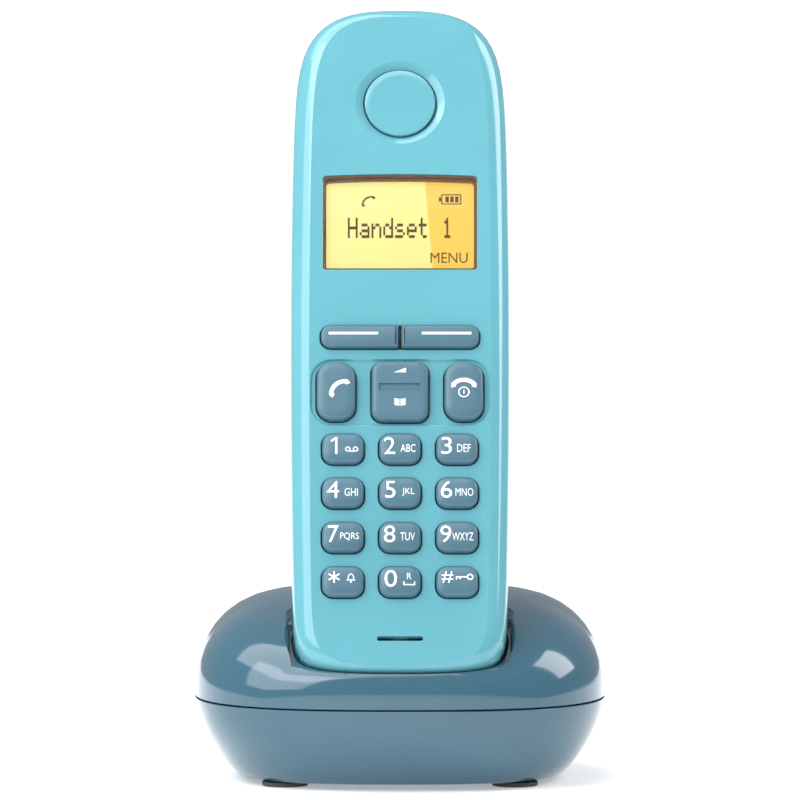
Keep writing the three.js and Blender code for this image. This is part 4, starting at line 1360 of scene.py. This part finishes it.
class TELEPHONE_OT_digit_keys(TelephoneStep):
    """The twelve digit keys and their prints"""

    bl_idname = "telephone.digit_keys"
    bl_label = "Digit keys"

    def execute(self, context):
        sizes = context.scene.telephone_sizes
        pattern = key_cap("digit_key_pattern", (*DIGIT_KEY, KEY_TOP), DIGIT_CORNER, sizes.key_rim, sizes.key_crown)
        for row, names in enumerate(KEY_NAMES):
            for column, node in enumerate(names):
                place = (DIGIT_COLUMNS[column], DIGIT_ROWS[row], 0)
                self.legend(pattern, node, place, *LEGENDS[node])
                cap = copy_of(pattern, "cap_" + node[4:], place)
                settle(cap, "handset", node, "Key satin", "key_plastic", node)
        bpy.data.objects.remove(pattern, do_unlink=True)
        return {"FINISHED"}

    def legend(self, pattern, node, place, digit, middle, width, letters=None, letters_middle=0.0, letters_width=0.0):
        sizes = bpy.context.scene.telephone_sizes
        if digit == "*":
            parts = [drawn("star", [star_loop(middle, 0.75, width / 2)], PRINT_LEVEL)]
        elif digit == "1":
            parts = [drawn("one", [one_loop(middle, 0.4, width, sizes.digit_height)], PRINT_LEVEL)]
        else:
            height, along = (2.7, 0.7) if digit == "#" else (sizes.digit_height, 0.4)
            parts = [lettering("digit", digit, height, (middle, along), PRINT_LEVEL, width)]
        if letters == "R":
            parts.append(lettering("letters", letters, 1.45, (letters_middle, 0.95), PRINT_LEVEL, letters_width))
        elif letters:
            parts.append(lettering("letters", letters, sizes.letter_height, (letters_middle, -0.2), PRINT_LEVEL, letters_width))
        parts += digit_icons(node)
        legend = print_on(join(parts, "print_" + node[4:]), pattern)
        take(legend)
        legend.location = place
        bpy.ops.object.transform_apply(location=True, rotation=False, scale=False)
        settle(legend, "handset", node, "Key ink", "key_plastic")


def receiver_loop(x, y, half_length, thickness, degrees):
    """A telephone receiver drawn as an arc with two heavier ends."""
    outer = arc_points(0, -half_length * 0.95, half_length * 1.28, 142, 38, 12)
    inner = arc_points(0, -half_length * 0.95, half_length * 1.28 - thickness, 48, 132, 10)
    left = [(-half_length * 0.62, -half_length * 0.42), (-half_length * 0.98, -half_length * 0.52), (-half_length * 1.12, -half_length * 0.3)]
    right = [(half_length * 1.12, -half_length * 0.3), (half_length * 0.98, -half_length * 0.52), (half_length * 0.62, -half_length * 0.42)]
    loop = outer + right[1:] + inner + left[:2]
    return turned([(px + x, py + y) for px, py in loop], degrees, (x, y))


class TELEPHONE_OT_call_keys(TelephoneStep):
    """Talk key, end key, the rocking key between them and the two soft keys"""

    bl_idname = "telephone.call_keys"
    bl_label = "Call keys and soft keys"

    def execute(self, context):
        sizes = context.scene.telephone_sizes
        pattern = key_cap("call_key_pattern", (*CALL_KEY, KEY_TOP), CALL_CORNER, sizes.key_rim, sizes.key_crown)
        talk = [receiver_loop(0.2, 0.9, 2.7, 0.95, 42)]
        end = [receiver_loop(0, 1.9, 2.75, 0.95, 0)]
        rings = [ring_loop(0, -0.55, 1.25, 28), ring_loop(0, -0.55, 0.98, 28)]
        for node, x, drawings in (("talk_key", -CALL_KEY_X, [talk]), ("end_key", CALL_KEY_X, [end, rings, [box_loop(0, -0.5, 0.26, 0.95)]])):
            marks = join([drawn("mark", loops, PRINT_LEVEL) for loops in drawings], "print_" + node)
            print_on(marks, pattern)
            cap = copy_of(pattern, "cap_" + node, (x, PANEL_ROW, 0))
            take(marks)
            marks.location = (x, PANEL_ROW, 0)
            bpy.ops.object.transform_apply(location=True, rotation=False, scale=False)
            settle(cap, "handset", node, "Key satin", "key_plastic", node)
            settle(marks, "handset", node, "Key ink", "key_plastic")
        bpy.data.objects.remove(pattern, do_unlink=True)
        self.rocker(sizes)
        self.soft_keys(sizes)
        return {"FINISHED"}

    def rocker(self, sizes):
        cap = key_cap("cap_navigation", (*ROCKER_KEY, KEY_TOP), ROCKER_CORNER, sizes.key_rim, 0.05)
        groove = block("groove", (9.0, 1.75, 0.6), (-0.1, 0.75, KEY_TOP), 0.3)
        combine(cap, groove, "DIFFERENCE")
        wedge = [(-1.4, 4.1), (1.3, 4.1), (1.3, 5.2)]
        pages = [[(side * 1.2, -3.55), (side * 0.12, -3.75), (side * 0.12, -2.15), (side * 1.2, -2.0)] for side in (-1, 1)]
        marks = join([drawn("mark", [loop], PRINT_LEVEL) for loop in (wedge, *pages)], "print_navigation")
        print_on(marks, cap)
        for piece in (cap, marks):
            take(piece)
            piece.location = (0, PANEL_ROW, 0)
            bpy.ops.object.transform_apply(location=True, rotation=False, scale=False)
        settle(cap, "handset", "navigation_rocker", "Key satin", "key_plastic", "navigation_rocker")
        settle(marks, "handset", "navigation_rocker", "Key ink", "key_plastic")

    def soft_keys(self, sizes):
        for node, side in (("softkey_left", -1), ("softkey_right", 1)):
            height = KEY_TOP - 0.1 - KEY_BACK
            cap = block("cap_" + node, (*SOFT_KEY, height), (0, 0, KEY_BACK + height / 2))
            open_mesh(cap)
            pick(cap, "edges", lambda e: abs(e.verts[0].co.z - e.verts[1].co.z) > 3 and side * e.verts[0].co.x > 0)
            bpy.ops.mesh.bevel(offset=2.1, segments=8, affect="EDGES", profile=0.5)
            pick(cap, "edges", lambda e: abs(e.verts[0].co.z - e.verts[1].co.z) > 3 and side * e.verts[0].co.x < -8)
            bpy.ops.mesh.bevel(offset=0.4, segments=3, affect="EDGES", profile=0.5)
            pick(cap, "edges", lambda e: all(v.co.z > KEY_BACK + height - 0.01 for v in e.verts))
            bpy.ops.mesh.bevel(offset=0.8, segments=5, affect="EDGES", profile=0.5)
            close_mesh()
            line = drawn("print_" + node, [box_loop(side * 1.4, 0.5, 10.8, 0.6)], PRINT_LEVEL)
            print_on(line, cap)
            for piece in (cap, line):
                take(piece)
                piece.location = (side * SOFT_KEY_X, SOFTKEY_ROW, 0)
                bpy.ops.object.transform_apply(location=True, rotation=False, scale=False)
            settle(cap, "handset", node, "Key satin", "key_plastic", node)
            settle(line, "handset", node, "Key ink", "key_plastic")


# ---------------------------------------------------------------- display and earpiece


GLYPHS = {
    "H": "10001 10001 10001 11111 10001 10001 10001",
    "a": "00000 00000 01110 00001 01111 10001 01111",
    "n": "00000 00000 10110 11001 10001 10001 10001",
    "d": "00001 00001 01101 10011 10001 10001 01111",
    "s": "00000 00000 01110 10000 01110 00001 11110",
    "e": "00000 00000 01110 10001 11111 10000 01110",
    "t": "01000 01000 11110 01000 01000 01000 00110",
    "1": "00100 01100 00100 00100 00100 00100 01110",
}
SCREEN_LINE = "Handset 1"
DOT = 0.43
DOT_ROW = 0.68


class TELEPHONE_OT_display(TelephoneStep):
    """Lit screen with its marks, the gasket round it and the window over it"""

    bl_idname = "telephone.display"
    bl_label = "Display"

    def execute(self, context):
        screen = block("lit_screen_panel", (35, 25.2, 2), (0, WINDOW[2], 10.3), 0.5, 0.15)
        settle(screen, "handset", "handset", "Lit screen", "display_panel", "display_module")
        pane = window_block("window_pane", 0.3, 12.45, 13.3)
        gasket = window_block("window_gasket", 0.25, 11.35, 12.3)
        hole = window_block("gasket_hole", 0.8, 10, 14)
        # The hole is set 0.35 mm low, so the dark band is wide along the top and thin at the bottom. This is a real
        # bezel, widened at the top into painted shade where the recessed window's top wall lies in shadow.
        take(hole)
        hole.location = (0, -0.35, 0)
        bpy.ops.object.transform_apply(location=True, rotation=False, scale=False)
        combine(gasket, hole, "DIFFERENCE")
        rim = window_block("window_rim", 0.06, 12.3, 13.2)
        combine(rim, window_block("rim_hole", 0.45, 11, 14), "DIFFERENCE")
        open_mesh(pane)
        pick(pane, "edges", lambda e: all(v.co.z > 13.29 for v in e.verts) and len(e.link_faces) == 2
             and min(f.normal.z for f in e.link_faces) < 0.5)
        bpy.ops.mesh.bevel(offset=0.12, segments=2, affect="EDGES", profile=0.5)
        close_mesh()
        settle(pane, "handset", "handset", "Window glass", "display_glass", "display_window")
        settle(join([gasket, rim], "window_gasket"), "handset", "handset", "Window gasket", "display_panel")
        self.marks()
        return {"FINISHED"}

    def marks(self):
        level = 11.33
        middle = WINDOW[2]
        across, down = [], []
        start = -len(SCREEN_LINE) * 6 * DOT / 2 + DOT
        for place, letter in enumerate(SCREEN_LINE):
            rows = GLYPHS.get(letter, "").split()
            for row, dots in enumerate(rows):
                for column, dot in enumerate(dots):
                    if dot == "0":
                        continue
                    x = start + (place * 6 + column) * DOT
                    y = middle + 1.65 - row * DOT_ROW
                    across.append((x, y, dots[column + 1:column + 2] == "1"))
                    if row + 1 < len(rows) and rows[row + 1][column] == "1":
                        down.append((x, y))
        steps = [drawn("dots", [box_loop(x, y, DOT * 1.0, DOT_ROW)], level) for x, y, _ in across]
        bridges = [drawn("dots", [box_loop(x + DOT / 2, y, DOT, DOT_ROW * 0.96)], level + 0.004) for x, y, more in across if more]
        bridges += [drawn("dots", [box_loop(x, y - DOT_ROW / 2, DOT * 0.98, DOT_ROW)], level + 0.008) for x, y in down]
        line = join(steps + bridges)
        receiver = drawn("receiver", [[(x, y) for x, y in receiver_loop(-7.2, middle + 6.2, 1.75, 0.42, 38)]], level)
        cell = [box_loop(11.2, middle + 6.3, 4.4, 2.4), box_loop(11.2, middle + 6.3, 3.9, 1.9)]
        bars = [box_loop(x, middle + 6.3, 0.75, 1.35) for x in (10.3, 11.35, 12.4)]
        cap = [box_loop(8.72, middle + 6.3, 0.5, 1.0)]
        battery = [drawn("cell", cell, level), drawn("bars", bars, level), drawn("cap", cap, level)]
        menu = lettering("menu", "MENU", 2.45, (10.7, middle - 7.4), level, 8.1)
        marks = join([line, receiver, *battery, menu], "screen_marks")
        thicken(marks, 0.02, 1)
        settle(marks, "handset", "handset", "Screen mark", "display_panel")


class TELEPHONE_OT_earpiece(TelephoneStep):
    """Earpiece disc with its sunk rim"""

    bl_idname = "telephone.earpiece"
    bl_label = "Earpiece"

    def execute(self, context):
        disc = rod("earpiece_disc", 7.7, 11.3, FACE, (0, EARPIECE), 96, 0.22)
        open_mesh(disc)
        pick(disc, "faces", lambda f: f.normal.z > 0.99 and f.calc_center_median().z > FACE - 1e-3)
        for thickness, drop in ((1.4, -0.012), (1.8, -0.015), (1.8, -0.008)):
            bpy.ops.mesh.inset(thickness=thickness)
            bpy.ops.transform.translate(value=(0, 0, drop))
        close_mesh()
        flange = rod("flange", 9.4, 10.5, 11.35, (0, EARPIECE), 72, 0.15)
        combine(disc, flange, "UNION")
        settle(disc, "handset", "handset", "Handset gloss", "handset_shell", "earpiece_cap", degrees=24)
        return {"FINISHED"}


# ---------------------------------------------------------------- power and inner parts


class TELEPHONE_OT_cells(TelephoneStep):
    """The two battery cells with sleeves and nubs, and the springs and plates that join them"""

    bl_idname = "telephone.cells"
    bl_label = "Battery cells"

    def execute(self, context):
        for node, side in (("battery_cell_left", -1), ("battery_cell_right", 1)):
            sleeve = rod("sleeve_" + node[13:], 5.25, 0, 43, (0, 0), 56, 0.45, 0.45)
            open_mesh(sleeve)
            for level, sign in ((43, -1), (0, 1)):
                pick(sleeve, "faces", lambda f: abs(f.normal.z) > 0.99 and abs(f.calc_center_median().z - level) < 0.01)
                bpy.ops.mesh.inset(thickness=0.9)
                bpy.ops.mesh.extrude_region_move(TRANSFORM_OT_translate={"value": (0, 0, sign * 0.3)})
            close_mesh()
            nub = rod("nub_" + node[13:], 2.0, 42.6, 44.5, (0, 0), 32, 0.3)
            plate = rod("plate", 3.85, 42.62, 42.95, (0, 0), 40, 0.08)
            foot = rod("foot_plate", 3.85, 0.02, 0.35, (0, 0), 40, 0, 0.08)
            nub = join([nub, plate, foot], "nub_" + node[13:])
            for piece in (sleeve, nub):
                take(piece)
                piece.rotation_euler = (math.radians(-90 if side < 0 else 90), 0, 0)
                piece.location = (side * 5.55, 38.6 if side < 0 else 83.1, -6.55)
                bpy.ops.object.transform_apply(location=True, rotation=True, scale=True)
            settle(sleeve, "handset", "handset", "Cell sleeve", "battery_can", node)
            settle(nub, "handset", "handset", "Tinned steel", "battery_can")
        for x, end in ((-5.55, "left"), (5.55, "right")):
            plate = block("terminal_plate_" + end, (6.5, 0.5, 6), (x - 0.2 if x < 0 else x + 0.2, 86.4, -6.5), 0.6, 0.15)
            coil = self.coil(x, 86.2, 83.6, 2.3 if x > 0 else 1.6)
            settle(join([plate, coil], "terminal_spring_" + end), "handset", "handset", "Tinned steel", "tinned_steel", "battery_terminal_" + end)
        strip = block("bridge_strip", (21, 0.5, 6), (0, 35.6, -6.5), 0.8, 0.15)
        coils = [self.coil(x, 35.8, 38.2, 2.3 if x < 0 else 1.6) for x in (-5.55, 5.55)]
        settle(join([strip, *coils], "bridge_spring"), "handset", "handset", "Tinned steel", "tinned_steel", "battery_bridge_spring")
        return {"FINISHED"}

    def coil(self, x, start, end, radius):
        """A short coil spring along the bay: a wire circle carried round its axis."""
        turns = 3.0
        bpy.ops.mesh.primitive_circle_add(vertices=8, radius=0.22, fill_type="NOTHING", location=(radius, 0, 0), rotation=(math.radians(90), 0, 0))
        wire = named("coil")
        apply_modifier(wire, "SCREW", axis="Z", angle=math.radians(360 * turns), screw_offset=abs(end - start) - 0.44, steps=54, render_steps=54,
                       use_normal_calculate=True)
        open_mesh(wire)
        bpy.ops.mesh.select_all(action="SELECT")
        bpy.ops.mesh.fill_holes(sides=8)
        face_outwards()
        close_mesh()
        take(wire)
        wire.rotation_euler = (math.radians(-90 if end > start else 90), 0, 0)
        wire.location = (x, start, -6.5)
        bpy.ops.object.transform_apply(location=True, rotation=True, scale=True)
        return wire


class TELEPHONE_OT_inner_parts(TelephoneStep):
    """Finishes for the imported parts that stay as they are"""

    bl_idname = "telephone.inner_parts"
    bl_label = "Inner parts"

    def execute(self, context):
        dress("Circuit board", "base_circuit_board", "handset_circuit_board")
        dress("Tinned steel", "base_shield_can", "handset_shield_can", "microphone", "base_antenna", "handset_antenna")
        dress("Contact metal", "charge_contact_left", "charge_contact_right", "charge_pad_left", "charge_pad_right")
        dress("Dark plastic", "contact_carrier", "paging_switch", "earpiece_speaker", "ringer_speaker")
        dress("White diffuser", "display_backlight")
        dress("Silicone mat", "keypad_mat")
        return {"FINISHED"}


# ---------------------------------------------------------------- stage


def area_light(name, place, target, size, size_y, power, colour=(1, 1, 1)):
    bpy.ops.object.light_add(type="AREA", location=place)
    light = bpy.context.view_layer.objects.active
    light.name = name
    light.data.shape = "RECTANGLE"
    light.data.size = size
    light.data.size_y = size_y
    light.data.energy = power
    light.data.color = colour
    light.rotation_euler = (Vector(target) - Vector(place)).to_track_quat("-Z", "Y").to_euler()
    return light


class TELEPHONE_OT_stage(TelephoneStep):
    """Pale floor, soft studio lights and the camera"""

    bl_idname = "telephone.stage"
    bl_label = "Stage"

    def execute(self, context):
        sizes = context.scene.telephone_sizes
        bpy.ops.mesh.primitive_circle_add(vertices=96, radius=12, fill_type="NGON", location=(0, 0, 0))
        floor = named("studio_floor")
        floor.data.materials.append(finish("Studio floor"))

        world = bpy.data.worlds.new("Studio")
        context.scene.world = world
        world.use_nodes = True
        world.node_tree.nodes["Background"].inputs["Color"].default_value = (0.93, 0.96, 1.0, 1)
        world.node_tree.nodes["Background"].inputs["Strength"].default_value = 0.38

        centre = (0, 0, 0.08)
        area_light("left_softbox", (-0.95, -0.62, 0.95), centre, 1.15, 1.15, 13)
        area_light("top_softbox", (-0.42, -0.12, 1.2), centre, 1.5, 1.2, 17)
        area_light("right_softbox", (0.85, 0.15, 0.75), centre, 0.5, 0.7, 6)

        bpy.ops.object.camera_add()
        camera = bpy.context.view_layer.objects.active
        camera.name = "front_camera"
        camera.data.lens = 1000
        camera.data.sensor_width = 36
        aim = Vector((0, 0, 0.0820))
        away = Vector((0, -math.cos(sizes.camera_height), math.sin(sizes.camera_height)))
        camera.location = aim + away * sizes.camera_distance
        camera.rotation_euler = (-away).to_track_quat("-Z", "Y").to_euler()
        camera.data.clip_start = 0.05
        context.scene.camera = camera
        context.scene.view_settings.view_transform = "Standard"
        return {"FINISHED"}


# ---------------------------------------------------------------- panel and registration


class TELEPHONE_PT_build(bpy.types.Panel):
    """Lists the building steps in their order"""

    bl_label = "Telephone"
    bl_idname = "TELEPHONE_PT_build"
    bl_space_type = "VIEW_3D"
    bl_region_type = "UI"
    bl_category = "Telephone"

    def draw(self, context):
        for group in (context.scene.telephone_sizes, context.scene.telephone_colours):
            box = self.layout.box()
            for name in group.__annotations__:
                box.prop(group, name)
        for step in STEPS:
            self.layout.operator(step.bl_idname)


STEPS = (
    TELEPHONE_OT_base_upper,
    TELEPHONE_OT_base_lower,
    TELEPHONE_OT_base_sockets,
    TELEPHONE_OT_feet_and_screws,
    TELEPHONE_OT_front_shell,
    TELEPHONE_OT_rear_shell,
    TELEPHONE_OT_battery_cover,
    TELEPHONE_OT_digit_keys,
    TELEPHONE_OT_call_keys,
    TELEPHONE_OT_display,
    TELEPHONE_OT_earpiece,
    TELEPHONE_OT_cells,
    TELEPHONE_OT_inner_parts,
    TELEPHONE_OT_stage,
)
CLASSES = (TelephoneSizes, TelephoneColours, *STEPS, TELEPHONE_PT_build)


def register():
    for made in CLASSES:
        bpy.utils.register_class(made)
    bpy.types.Scene.telephone_sizes = bpy.props.PointerProperty(type=TelephoneSizes)
    bpy.types.Scene.telephone_colours = bpy.props.PointerProperty(type=TelephoneColours)


def unregister():
    del bpy.types.Scene.telephone_colours
    del bpy.types.Scene.telephone_sizes
    for made in reversed(CLASSES):
        bpy.utils.unregister_class(made)


def main():
    register()
    for step in STEPS:
        group, _, action = step.bl_idname.partition(".")
        getattr(getattr(bpy.ops, group), action)()
    clear_selection()


if __name__ == "__main__":
    main()
